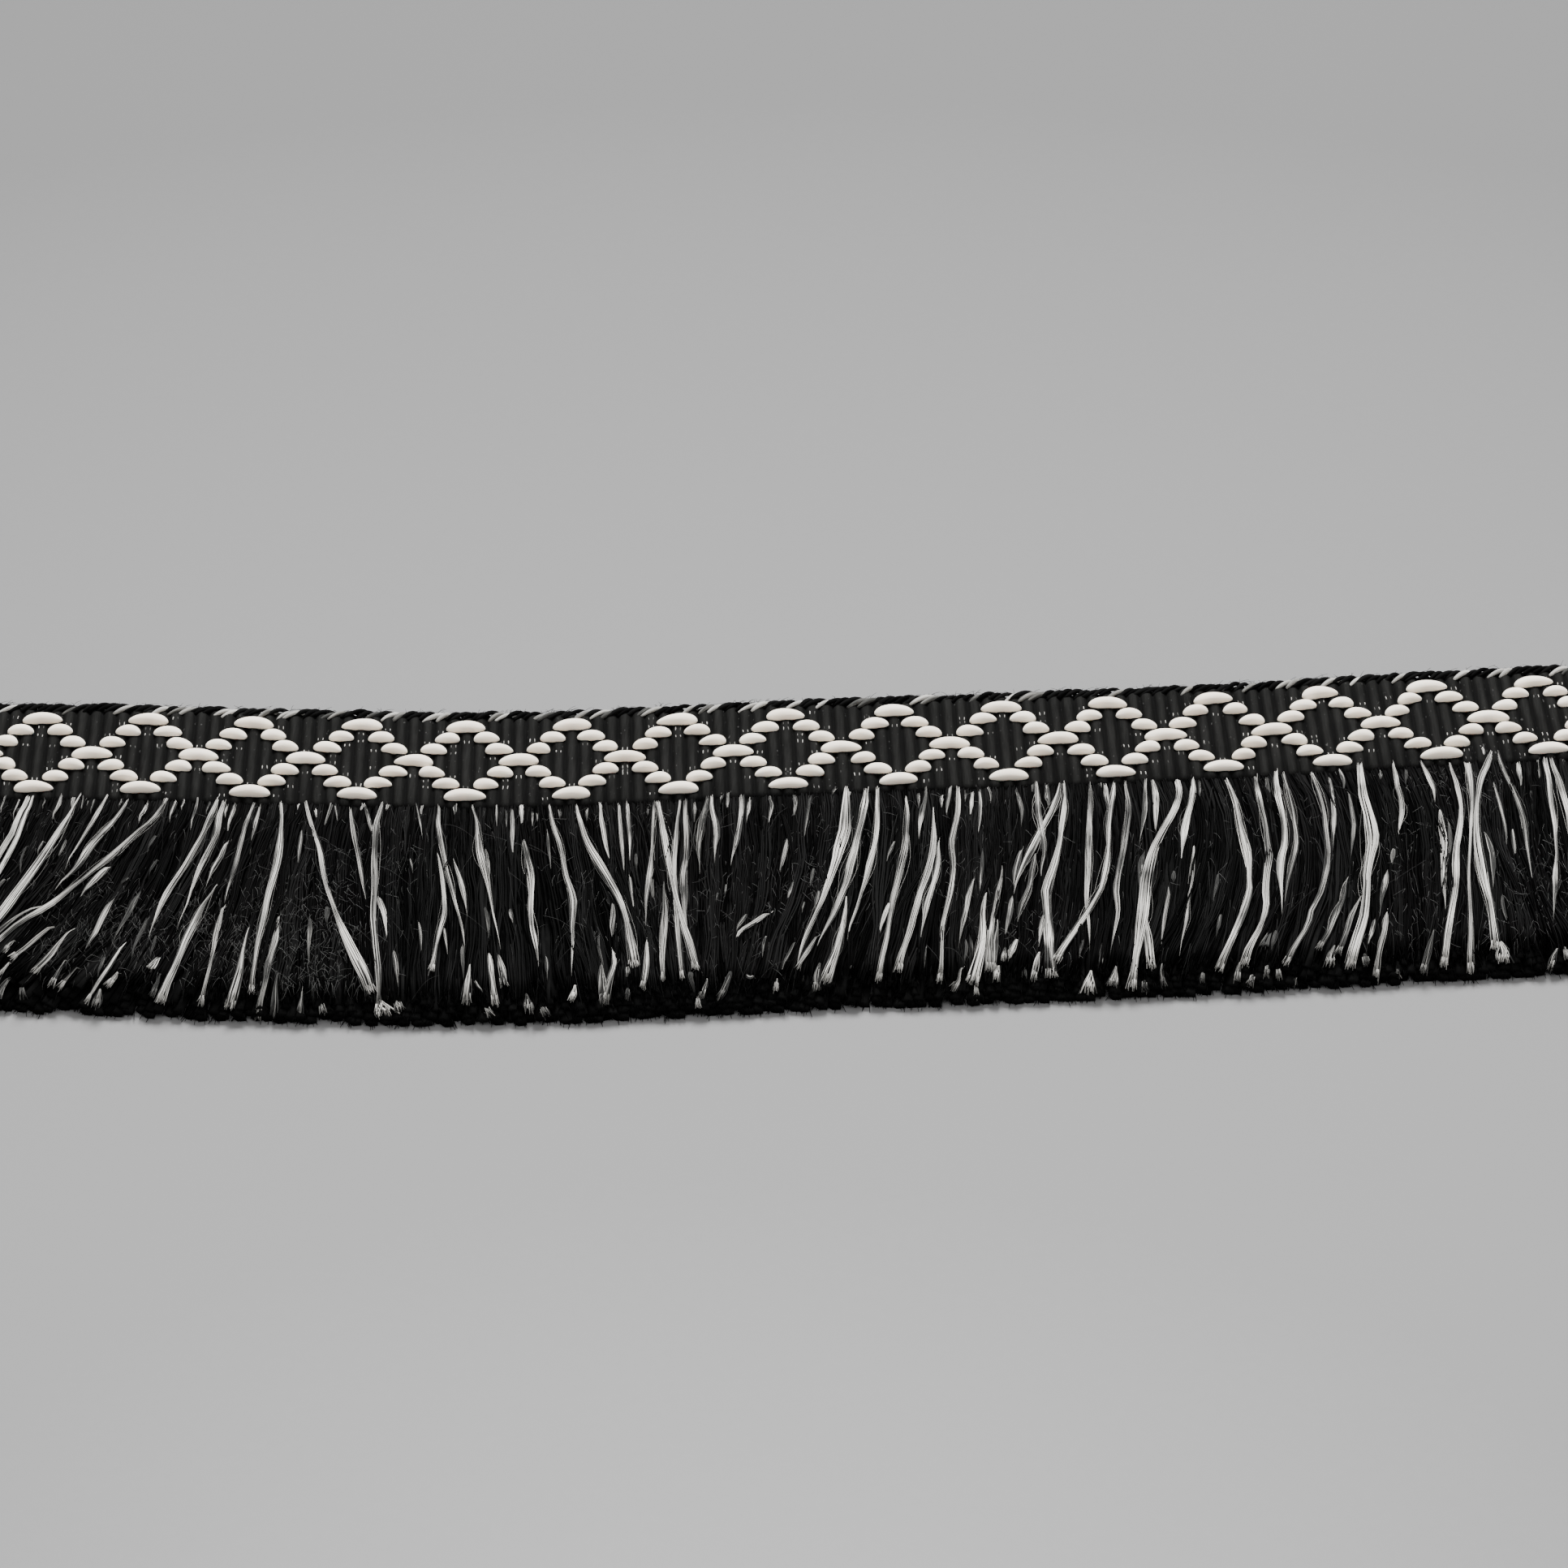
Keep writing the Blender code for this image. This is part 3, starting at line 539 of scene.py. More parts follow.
        (1210, 1160, 11), (1206, 1180, 14), (1202, 1196, 18), (1198, 1211, 22))),
    Lock("under", "under", 0.26, ((1211, 1040, 1), (1210, 1068, 5), (1207, 1102, 1))),
    Lock("under", "fan", 0.66, ((1235, 1063, 1), (1234, 1080, 6), (1230, 1098, 7), (1226, 1118, 6),
        (1222, 1138, 7), (1219, 1158, 9), (1218, 1178, 11), (1218, 1194, 12))),
    Lock("under", "fan", 0.62, ((1229, 1126, 1), (1229, 1146, 6), (1226, 1162, 9), (1225, 1194, 7))),
    Lock("under", "fan", 0.50, ((1187, 1188, 2), (1183, 1200, 6), (1181, 1210, 6), (1175, 1219, 13))),
    Lock("under", "fan", 0.50, ((1203, 1214, 4), (1203, 1227, 7))),
    Lock("under", "under", 0.30, ((1142, 1163, 1), (1139, 1188, 3))),
    Lock("root", "under", 0.42, ((1252, 974, 3), (1257, 990, 7), (1259, 1005, 6), (1258, 1018, 2))),
    Lock("under", "under", 0.66, ((1257, 1152, 1), (1251, 1162, 7), (1246, 1173, 9), (1242, 1185, 6))),
    Lock("under", "fan", 0.55, ((1239, 1166, 6), (1237, 1182, 8))),
    Lock("under", "fan", 0.70, ((1232, 1188, 4), (1229, 1198, 9), (1228, 1206, 12))),
    Lock("under", "under", 0.52, ((1262, 1038, 1), (1257, 1052, 7), (1253, 1066, 9), (1250, 1080, 7),
        (1249, 1096, 1))),
    Lock("under", "under", 0.58, ((1277, 1044, 3), (1274, 1064, 9), (1271, 1080, 8), (1268, 1095, 8),
        (1263, 1108, 9), (1258, 1120, 9), (1252, 1145, 1))),
    Lock("under", "under", 0.56, ((1248, 1096, 2), (1246, 1115, 8), (1243, 1132, 8), (1237, 1160, 1))),
    Lock("root", "under", 0.70, ((1277, 966, 4), (1278, 982, 8), (1279, 998, 9), (1281, 1012, 9),
        (1284, 1028, 9), (1286, 1042, 8), (1286, 1056, 6), (1283, 1072, 5), (1283, 1089, 1))),
    Lock("root", "under", 0.80, ((1306, 967, 4), (1302, 985, 8), (1296, 1000, 9), (1288, 1015, 9),
        (1280, 1030, 10), (1273, 1045, 12), (1266, 1058, 10), (1259, 1072, 9), (1253, 1086, 6),
        (1248, 1104, 1))),
    Lock("root", "under", 0.50, ((1290, 968, 5), (1291, 984, 8), (1293, 996, 3))),
    Lock("root", "fan", 0.74, ((1311, 966, 5), (1312, 982, 7), (1311, 1000, 8), (1308, 1020, 8),
        (1306, 1038, 8), (1302, 1055, 9), (1298, 1070, 11), (1293, 1085, 12), (1289, 1100, 13),
        (1290, 1115, 11), (1291, 1132, 11), (1292, 1150, 13), (1293, 1167, 15), (1294, 1184, 18),
        (1295, 1202, 22))),
    Lock("under", "under", 0.64, ((1289, 1118, 4), (1285, 1136, 7), (1282, 1152, 6), (1279, 1168, 1))),
    Lock("under", "fan", 0.66, ((1283, 1168, 3), (1278, 1184, 8), (1273, 1207, 9))),
    Lock("root", "under", 0.74, ((1343, 967, 3), (1343, 985, 6), (1342, 1005, 7), (1342, 1025, 8),
        (1341, 1045, 8), (1341, 1066, 8), (1340, 1086, 7), (1339, 1104, 7), (1339, 1118, 8),
        (1341, 1135, 10), (1342, 1150, 8), (1343, 1167, 1))),
    Lock("under", "under", 0.40, ((1335, 1152, 1), (1333, 1165, 5), (1329, 1182, 1))),
    Lock("under", "fan", 0.80, ((1345, 1190, 3), (1344, 1201, 9), (1342, 1212, 17), (1341, 1221, 21))),
    Lock("root", "under", 0.62, ((1362, 970, 5), (1364, 984, 7), (1366, 998, 6), (1366, 1012, 2))),
    Lock("root", "fan", 0.80, ((1373, 965, 5), (1371, 982, 8), (1368, 998, 9), (1366, 1015, 8),
        (1366, 1032, 7), (1366, 1048, 8), (1364, 1065, 10), (1361, 1080, 10), (1357, 1095, 8),
        (1350, 1108, 8), (1343, 1120, 9), (1334, 1134, 11), (1325, 1147, 11), (1316, 1160, 10),
        (1308, 1172, 11), (1302, 1184, 14))),
    Lock("root", "under", 0.66, ((1386, 965, 3), (1389, 982, 7), (1391, 998, 8), (1389, 1018, 7),
        (1386, 1036, 8), (1383, 1052, 8), (1380, 1068, 8), (1377, 1086, 8), (1376, 1102, 7),
        (1378, 1118, 7), (1377, 1133, 8), (1373, 1150, 7), (1367, 1178, 1))),
    Lock("under", "fan", 0.62, ((1376, 1186, 3), (1374, 1198, 9), (1371, 1213, 17))),
    Lock("root", "under", 0.38, ((1411, 963, 4), (1411, 980, 6), (1411, 998, 6), (1409, 1012, 6),
        (1403, 1040, 1))),
    Lock("root", "under", 0.74, ((1420, 963, 5), (1424, 980, 8), (1424, 998, 8), (1424, 1012, 7),
        (1424, 1028, 4))),
    Lock("root", "fan", 0.86, ((1451, 963, 8), (1453, 976, 10), (1451, 990, 9), (1443, 1007, 10),
        (1432, 1026, 11), (1422, 1046, 12), (1416, 1066, 15), (1412, 1088, 18), (1410, 1110, 17),
        (1408, 1132, 17), (1405, 1152, 14), (1402, 1170, 11), (1399, 1187, 9), (1397, 1203, 12),
        (1395, 1217, 17))),
    Lock("under", "fan", 0.78, ((1411, 1112, 4), (1412, 1140, 10), (1414, 1158, 12), (1416, 1175, 13),
        (1418, 1191, 15))),
    Lock("under", "under", 0.45, ((1411, 1044, 2), (1407, 1062, 8), (1405, 1084, 6), (1404, 1108, 1))),
    Lock("under", "fan", 0.45, ((1410, 1206, 4), (1410, 1220, 11))),
    Lock("under", "under", 0.45, ((1439, 1085, 1), (1440, 1102, 6), (1437, 1118, 5), (1434, 1136, 5),
        (1430, 1172, 1))),
    Lock("under", "under", 0.36, ((1447, 1070, 1), (1446, 1082, 6), (1446, 1091, 1))),
    Lock("under", "fan", 0.36, ((1433, 1182, 3), (1431, 1198, 6), (1434, 1213, 9))),
    Lock("root", "under", 0.70, ((1470, 961, 5), (1470, 975, 8), (1467, 990, 9), (1463, 1005, 10),
        (1460, 1020, 10), (1458, 1036, 9), (1455, 1062, 3))),
    Lock("root", "under", 0.28, ((1478, 964, 4), (1478, 984, 3))),
    Lock("under", "under", 0.60, ((1471, 1032, 1), (1471, 1050, 6), (1470, 1068, 7), (1469, 1086, 6),
        (1466, 1102, 5), (1464, 1118, 4), (1462, 1136, 6), (1458, 1152, 4), (1453, 1176, 1))),
    Lock("under", "fan", 0.36, ((1482, 1197, 6), (1481, 1208, 8))),
    Lock("under", "under", 0.32, ((1502, 1070, 1), (1499, 1090, 5), (1494, 1113, 1))),
    Lock("under", "under", 0.30, ((1505, 1122, 1), (1502, 1138, 6), (1498, 1154, 1))),
    Lock("root", "fan", 0.76, ((1511, 961, 4), (1517, 975, 8), (1523, 992, 8), (1526, 1008, 9),
        (1529, 1023, 10), (1533, 1038, 13), (1536, 1052, 12), (1538, 1066, 9), (1539, 1081, 7),
        (1540, 1096, 9), (1537, 1110, 10), (1532, 1125, 12), (1526, 1140, 12), (1519, 1156, 11),
        (1512, 1171, 11), (1502, 1195, 14))),
    Lock("root", "fan", 0.74, ((1547, 957, 5), (1549, 975, 8), (1553, 992, 8), (1557, 1008, 7),
        (1560, 1025, 7), (1561, 1040, 9), (1564, 1055, 11), (1562, 1070, 11), (1560, 1085, 9),
        (1559, 1100, 9), (1560, 1115, 8), (1557, 1131, 7), (1552, 1145, 8), (1545, 1158, 10),
        (1538, 1172, 14), (1533, 1188, 16))),
    Lock("under", "fan", 0.50, ((1529, 1182, 3), (1526, 1194, 7), (1524, 1207, 10))),
    Lock("under", "fan", 0.55, ((1544, 1200, 3), (1541, 1212, 12))),
    Lock("root", "under", 0.46, ((1561, 961, 5), (1562, 975, 7), (1563, 990, 3))),
    Lock("root", "under", 0.76, ((1572, 953, 6), (1573, 970, 9), (1575, 985, 9), (1579, 1000, 8),
        (1582, 1015, 7), (1583, 1030, 7), (1582, 1045, 8), (1578, 1060, 11), (1577, 1075, 12),
        (1578, 1090, 9), (1579, 1105, 7), (1580, 1127, 1))),
    Lock("root", "under", 0.64, ((1581, 954, 5), (1585, 970, 6), (1589, 985, 6), (1593, 1000, 7),
        (1595, 1015, 7), (1597, 1030, 7), (1597, 1045, 7), (1593, 1060, 8), (1589, 1075, 9),
        (1586, 1090, 9), (1582, 1118, 2))),
    Lock("root", "fan", 0.70, ((1616, 953, 5), (1622, 970, 7), (1627, 985, 7), (1631, 1001, 7),
        (1633, 1018, 8), (1635, 1035, 7), (1636, 1052, 7), (1635, 1068, 8), (1632, 1082, 8),
        (1629, 1096, 8), (1623, 1110, 7), (1616, 1122, 8), (1612, 1138, 9), (1605, 1152, 8),
        (1596, 1166, 8), (1585, 1188, 13))),
    Lock("under", "under", 0.26, ((1574, 1142, 1), (1570, 1158, 6), (1566, 1174, 1))),
    Lock("under", "fan", 0.50, ((1562, 1188, 4), (1561, 1201, 10))),
    Lock("under", "fan", 0.50, ((1575, 1194, 4), (1575, 1204, 9))),
    Lock("under", "fan", 0.36, ((1598, 1204, 6), (1594, 1216, 13))),
    Lock("root", "under", 0.45, ((1638, 960, 4), (1642, 985, 7), (1644, 1005, 7), (1643, 1030, 5),
        (1642, 1052, 1))),
    Lock("root", "under", 0.52, ((1650, 948, 3), (1655, 962, 6), (1656, 974, 2))),
    Lock("under", "under", 0.58, ((1660, 972, 3), (1664, 990, 7), (1666, 1005, 7), (1668, 1020, 7),
        (1667, 1035, 6), (1664, 1060, 1))),
    Lock("under", "fan", 0.56, ((1664, 1073, 1), (1658, 1090, 5), (1655, 1105, 6), (1650, 1118, 8),
        (1644, 1134, 8), (1636, 1152, 7), (1626, 1168, 8))),
    Lock("under", "fan", 0.60, ((1646, 1162, 4), (1641, 1176, 12), (1638, 1189, 17))),
    Lock("root", "fan", 0.88, ((1675, 936, 7), (1676, 952, 11), (1678, 968, 12), (1680, 985, 14),
        (1685, 1002, 16), (1689, 1020, 18), (1691, 1036, 17), (1689, 1051, 14), (1686, 1066, 12),
        (1684, 1080, 11), (1684, 1096, 12), (1683, 1112, 14), (1681, 1130, 16), (1676, 1148, 17),
        (1671, 1163, 16), (1664, 1190, 17))),
    Lock("under", "fan", 0.66, ((1680, 1096, 3), (1673, 1113, 7), (1665, 1130, 9), (1660, 1146, 9),
        (1655, 1162, 8), (1650, 1174, 10))),
    Lock("under", "under", 0.60, ((1695, 1126, 1), (1692, 1142, 6), (1688, 1156, 5), (1683, 1170, 1))),
    Lock("under", "fan", 0.48, ((1680, 1174, 5), (1684, 1188, 14))),
    Lock("root", "under", 0.42, ((1701, 953, 6), (1701, 962, 4))),
    Lock("root", "under", 0.70, ((1716, 940, 3), (1719, 955, 7), (1722, 972, 9), (1726, 988, 9),
        (1727, 1003, 8), (1725, 1016, 6), (1722, 1037, 1))),
    Lock("under", "under", 0.50, ((1719, 1041, 1), (1716, 1053, 7), (1715, 1069, 1))),
    Lock("under", "under", 0.60, ((1711, 1066, 2), (1708, 1080, 8), (1705, 1096, 8), (1702, 1110, 5),
        (1700, 1133, 1))),
    Lock("under", "fan", 0.72, ((1710, 1116, 1), (1708, 1132, 7), (1706, 1148, 7), (1702, 1163, 7),
        (1699, 1178, 7), (1697, 1192, 10), (1695, 1205, 12))),
    Lock("under", "fan", 0.40, ((1722, 1194, 5), (1722, 1205, 10))),
    Lock("root", "under", 0.30, ((1733, 950, 5), (1732, 966, 3))),
    Lock("root", "under", 0.62, ((1751, 940, 3), (1757, 952, 6), (1763, 966, 8), (1767, 978, 7),
        (1769, 990, 1))),
    Lock("under", "fan", 0.50, ((1768, 1138, 1), (1765, 1155, 5), (1761, 1170, 8), (1754, 1197, 13))),
    Lock("under", "under", 0.78, ((1775, 990, 2), (1774, 1003, 9), (1776, 1018, 10), (1779, 1036, 9),
        (1779, 1052, 9), (1779, 1068, 9), (1779, 1085, 9), (1779, 1098, 8), (1782, 1124, 1))),
    Lock("under", "under", 0.45, ((1783, 1004, 1), (1787, 1035, 6), (1786, 1062, 1))),
    Lock("root", "fan", 0.82, ((1786, 941, 3), (1791, 958, 7), (1796, 975, 7), (1800, 992, 6),
        (1800, 1010, 7), (1798, 1028, 9), (1795, 1045, 10), (1794, 1062, 11), (1794, 1080, 11),
        (1793, 1098, 9), (1790, 1115, 8), (1787, 1132, 8), (1784, 1148, 9), (1782, 1166, 9),
        (1779, 1188, 11))),
    Lock("root", "fan", 0.74, ((1808, 942, 12), (1811, 958, 11), (1813, 975, 9), (1814, 992, 7),
        (1813, 1010, 5), (1812, 1030, 4), (1811, 1050, 4), (1810, 1070, 4), (1810, 1090, 5),
        (1811, 1112, 6), (1812, 1132, 7), (1813, 1152, 8), (1812, 1172, 9), (1812, 1196, 12))),
    Lock("root", "fan", 0.84, ((1838, 925, 6), (1833, 942, 10), (1826, 958, 10), (1822, 975, 8),
        (1820, 990, 7), (1819, 1005, 8), (1819, 1020, 9), (1820, 1035, 12), (1822, 1050, 15),
        (1825, 1065, 16), (1828, 1080, 14), (1831, 1095, 12), (1835, 1110, 11), (1838, 1126, 11),
        (1841, 1150, 12), (1843, 1168, 14))),
    Lock("under", "under", 0.52, ((1827, 1018, 1), (1833, 1035, 7), (1838, 1052, 8), (1839, 1068, 8),
        (1840, 1098, 1))),
    Lock("under", "fan", 0.85, ((1847, 1156, 8), (1851, 1170, 18), (1853, 1184, 22))),
    Lock("root", "under", 0.55, ((1826, 921, 7), (1829, 934, 5))),
    Lock("root", "under", 0.55, ((1845, 927, 4), (1850, 945, 6), (1857, 960, 6), (1865, 978, 7),
        (1871, 993, 8), (1876, 1008, 8), (1879, 1025, 7), (1881, 1042, 6), (1884, 1062, 5),
        (1890, 1100, 1))),
    Lock("root", "under", 0.36, ((1840, 966, 1), (1846, 985, 5), (1851, 1005, 5), (1855, 1025, 5),
        (1857, 1047, 1))),
    Lock("root", "under", 0.70, ((1870, 941, 6), (1872, 955, 7), (1875, 972, 1))),
    Lock("under", "under", 0.55, ((1862, 1013, 1), (1864, 1030, 5), (1866, 1046, 5), (1867, 1063, 1))),
    Lock("root", "under", 0.76, ((1903, 936, 7), (1907, 955, 9), (1909, 972, 9), (1911, 990, 8),
        (1914, 1007, 8), (1916, 1022, 6), (1917, 1038, 5), (1918, 1052, 4), (1917, 1066, 5),
        (1916, 1080, 9), (1916, 1095, 10), (1915, 1110, 8), (1914, 1137, 1))),
    Lock("under", "fan", 0.55, ((1921, 1163, 3), (1916, 1177, 9), (1910, 1193, 12))),
    Lock("under", "fan", 0.50, ((1927, 1165, 4), (1930, 1180, 9))),
    Lock("root", "fan", 0.80, ((1911, 936, 5), (1917, 955, 8), (1923, 972, 9), (1929, 992, 8),
        (1934, 1012, 8), (1937, 1040, 8), (1938, 1080, 8), (1938, 1150, 11))),
    Lock("root", "fan", 0.75, ((1968, 930, 6), (1972, 990, 9), (1966, 1060, 9), (1960, 1160, 12))),
    Lock("root", "under", 0.65, ((1990, 926, 5), (1996, 980, 8), (1992, 1050, 1))),
    Lock("root", "fan", 0.75, ((2018, 922, 6), (2012, 985, 8), (2010, 1060, 8), (2006, 1160, 12))),
)


def smooth_through(rows, name, along):
    """Values at `along` of a smooth curve through one column of a table."""
    along = np.asarray(along, float)
    x = np.array([row.along for row in rows])
    y = np.array([getattr(row, name) for row in rows])
    slopes = np.gradient(y, x)
    slopes[1:-1] = (y[2:] - y[:-2]) / (x[2:] - x[:-2])
    k = np.clip(np.searchsorted(x, along, side="right") - 1, 0, len(x) - 2)
    span = x[k + 1] - x[k]
    t = np.clip((along - x[k]) / span, 0.0, 1.0)
    ease = t * t * (3 - 2 * t)
    value = y[k] * (1 - ease) + y[k + 1] * ease
    value += t * (1 - t) ** 2 * span * slopes[k]
    return value + t * t * (t - 1) * span * slopes[k + 1]


def smoothstep(low, high, value):
    """0 below low, 1 above high, smooth between."""
    t = np.clip((value - low) / (high - low), 0.0, 1.0)
    return t * t * (3 - 2 * t)


def edge_line(along):
    """Where the band's lower edge runs."""
    return smooth_through(BAND_LIE, "across", along)


def band_place(along, across, height):
    """Points on the band. Its ribs keep one lean, and stand square to the edge at the cut ends."""
    step = 0.5 * MM
    slope = (edge_line(along + step) - edge_line(along - step)) / (2 * step)
    stretch = np.sqrt(1 + slope * slope)
    square = -across * slope / stretch
    leaning = smooth_through(BAND_LIE, "shift", along) - across * BAND_LEAN
    inner = smoothstep(0.0, SQUARE_WITHIN, LENGTH / 2 - np.abs(along))
    x = along + square * (1 - inner) + leaning * inner
    y = edge_line(x) + across * stretch
    return np.stack(np.broadcast_arrays(x, y, height), axis=-1)


def find_offset():
    """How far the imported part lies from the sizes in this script."""
    along = np.linspace(-LENGTH / 2, LENGTH / 2, 385)
    rims = np.concatenate([band_place(along, across, 0.0) for across in (0.0, BAND_WIDTH)])
    low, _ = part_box("heading")
    return np.array([low.x - rims[:, 0].min(), low.y - rims[:, 1].min(), 0.0])


OFFSET = find_offset()


def surface_height(away):
    """The fringe's upper surface, by distance from the band's edge."""
    rise = smoothstep(-0.5 * MM, SETTLED_AT, away)
    fall = smoothstep(TIPS_BEND_AT, TIPS_END_AT, away) * TIPS_FALL
    return ROOT_TOP + (FRINGE_TOP - ROOT_TOP) * rise - fall


def add_object(name, data):
    """A new object in the scene."""
    made = bpy.data.objects.new(name, data)
    bpy.context.collection.objects.link(made)
    return made


def make_camera():
    """The photograph's camera, its lens set for the photograph's 1932 by 1932 frame."""
    data = bpy.data.cameras.new("camera")
    data.sensor_width = SENSOR
    data.lens = SENSOR * PHOTO_FOCAL / PHOTO_SIZE
    data.clip_start = 0.01
    data.clip_end = 20.0
    camera = add_object("camera", data)
    target = Vector(CAMERA_TARGET) + Vector(OFFSET)
    away = Vector((0.0, -math.cos(CAMERA_HEIGHT_ANGLE), math.sin(CAMERA_HEIGHT_ANGLE)))
    camera.location = target + away * CAMERA_DISTANCE
    camera.rotation_euler = away.to_track_quat("Z", "Y").to_euler()
    bpy.context.scene.camera = camera


def photo_rays(pixels):
    """The camera's place and rays through pixels, in this script's own sizes."""
    forward = np.array([0.0, math.cos(CAMERA_HEIGHT_ANGLE), -math.sin(CAMERA_HEIGHT_ANGLE)])
    upward = np.array([0.0, math.sin(CAMERA_HEIGHT_ANGLE), math.cos(CAMERA_HEIGHT_ANGLE)])
    rightward = np.array([1.0, 0.0, 0.0])
    place = np.array(CAMERA_TARGET) - forward * CAMERA_DISTANCE
    shifts = (pixels - PHOTO_SIZE / 2) / PHOTO_FOCAL
    return place, forward + rightward * shifts[:, :1] - upward * shifts[:, 1:]


def photo_places(pixels):
    """Where pixels fall on the fringe: along, away from the edge, and the drop below
    its upper surface, which is zero but for pixels on the wall of cut ends."""
    place, rays = photo_rays(pixels)
    height = np.full(len(pixels), FRINGE_TOP)
    for _ in range(16):
        points = place + rays * ((height - place[2]) / rays[:, 2])[:, None]
        away = edge_line(points[:, 0]) - points[:, 1]
        height = height * 0.4 + surface_height(away) * 0.6
    wall = place[1] - edge_line(points[:, 0]) + WALL
    beyond = place + rays * (-wall / rays[:, 1])[:, None]
    on_wall = away > WALL
    along = np.where(on_wall, beyond[:, 0], points[:, 0])
    away = np.minimum(away, WALL)
    drop = np.where(on_wall, surface_height(away) - beyond[:, 2], 0.0)
    return along, away, np.maximum(drop, 0.0)


def loft(loops):
    """Vertices and faces of closed tubes from loops shaped (tube, station, side, 3)."""
    tubes, stations, sides, _ = loops.shape
    index = np.arange(tubes * stations * sides).reshape(tubes, stations, sides)
    turned = np.roll(index, -1, axis=2)
    quads = np.stack([index[:, :-1], index[:, 1:], turned[:, 1:], turned[:, :-1]], axis=-1)
    starts = index[:, 0, :]
    ends = index[:, -1, ::-1]
    faces = quads.reshape(-1, 4).tolist() + starts.tolist() + ends.tolist()
    return loops.reshape(-1, 3), faces


def unit(vectors):
    """Vectors of length one along the last axis."""
    return vectors / (np.linalg.norm(vectors, axis=-1, keepdims=True) + 1e-12)


def tube_loops(lines, half_width, half_height, sides):
    """Loops of flattened tubes about lines shaped (tube, station, 3)."""
    tangent = unit(np.gradient(lines, axis=1))
    side = unit(np.cross(tangent, np.array([0.0, 0.0, 1.0])))
    upward = np.cross(side, tangent)
    angle = 2 * np.pi * np.arange(sides) / sides
    wide = (np.cos(angle) * half_width[..., None])[..., None] * side[:, :, None, :]
    tall = (np.sin(angle) * half_height[..., None])[..., None] * upward[:, :, None, :]
    return lines[:, :, None, :] + wide + tall


def tube_uv(lines, sides):
    """UVs of a loft: round the tube in u, metres along it in v, caps at zero."""
    tubes = len(lines)
    steps = np.linalg.norm(np.diff(lines, axis=1), axis=-1)
    runs = np.concatenate([np.zeros((tubes, 1)), np.cumsum(steps, axis=1)], axis=1)
    runs = runs + np.arange(tubes)[:, None] * UV_STEP
    u_low = np.arange(sides) / sides
    u_high = (np.arange(sides) + 1) / sides
    low, high = runs[:, :-1, None], runs[:, 1:, None]
    corners = ((u_low, low), (u_low, high), (u_high, high), (u_high, low))
    quads = [np.stack(np.broadcast_arrays(u, v), axis=-1) for u, v in corners]
    body = np.stack(quads, axis=3).reshape(-1, 2)
    return np.concatenate([body, np.zeros((tubes * sides * 2, 2))])


def make_piece(name, vertices, faces, material, shade, uv=None, replaces=()):
    """One finished, shaded piece that rides with the part."""
    mesh = bpy.data.meshes.new(name)
    mesh.from_pydata((vertices + OFFSET).tolist(), [], faces)
    layer = mesh.attributes.new("shade", "FLOAT", "POINT")
    layer.data.foreach_set("value", np.asarray(shade, np.float32).ravel())
    if uv is not None:
        layer = mesh.uv_layers.new(name="yarn")
        layer.data.foreach_set("uv", np.asarray(uv, np.float32).ravel())
    mesh.materials.append(material)
    mesh.shade_smooth()
    piece = add_object(name, mesh)
    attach(piece, "root")
    if replaces:
        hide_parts(*replaces)
    return piece


def make_tubes(name, lines, half_width, half_height, sides, material, shade, replaces=()):
    """A piece of many tubes, each with its own shade of the material."""
    vertices, faces = loft(tube_loops(lines, half_width, half_height, sides))
    tubes, stations, _ = lines.shape
    shades = np.broadcast_to(np.reshape(shade, (tubes, -1, 1)), (tubes, stations, sides))
    return make_piece(name, vertices, faces, material, shades, tube_uv(lines, sides), replaces)


def make_hairs(name, lines, radius, material, shade, sides=3):
    """A piece of thin round tubes."""
    thin = np.broadcast_to(radius, lines.shape[:2])
    make_tubes(name, lines, thin, thin, sides, material, shade)


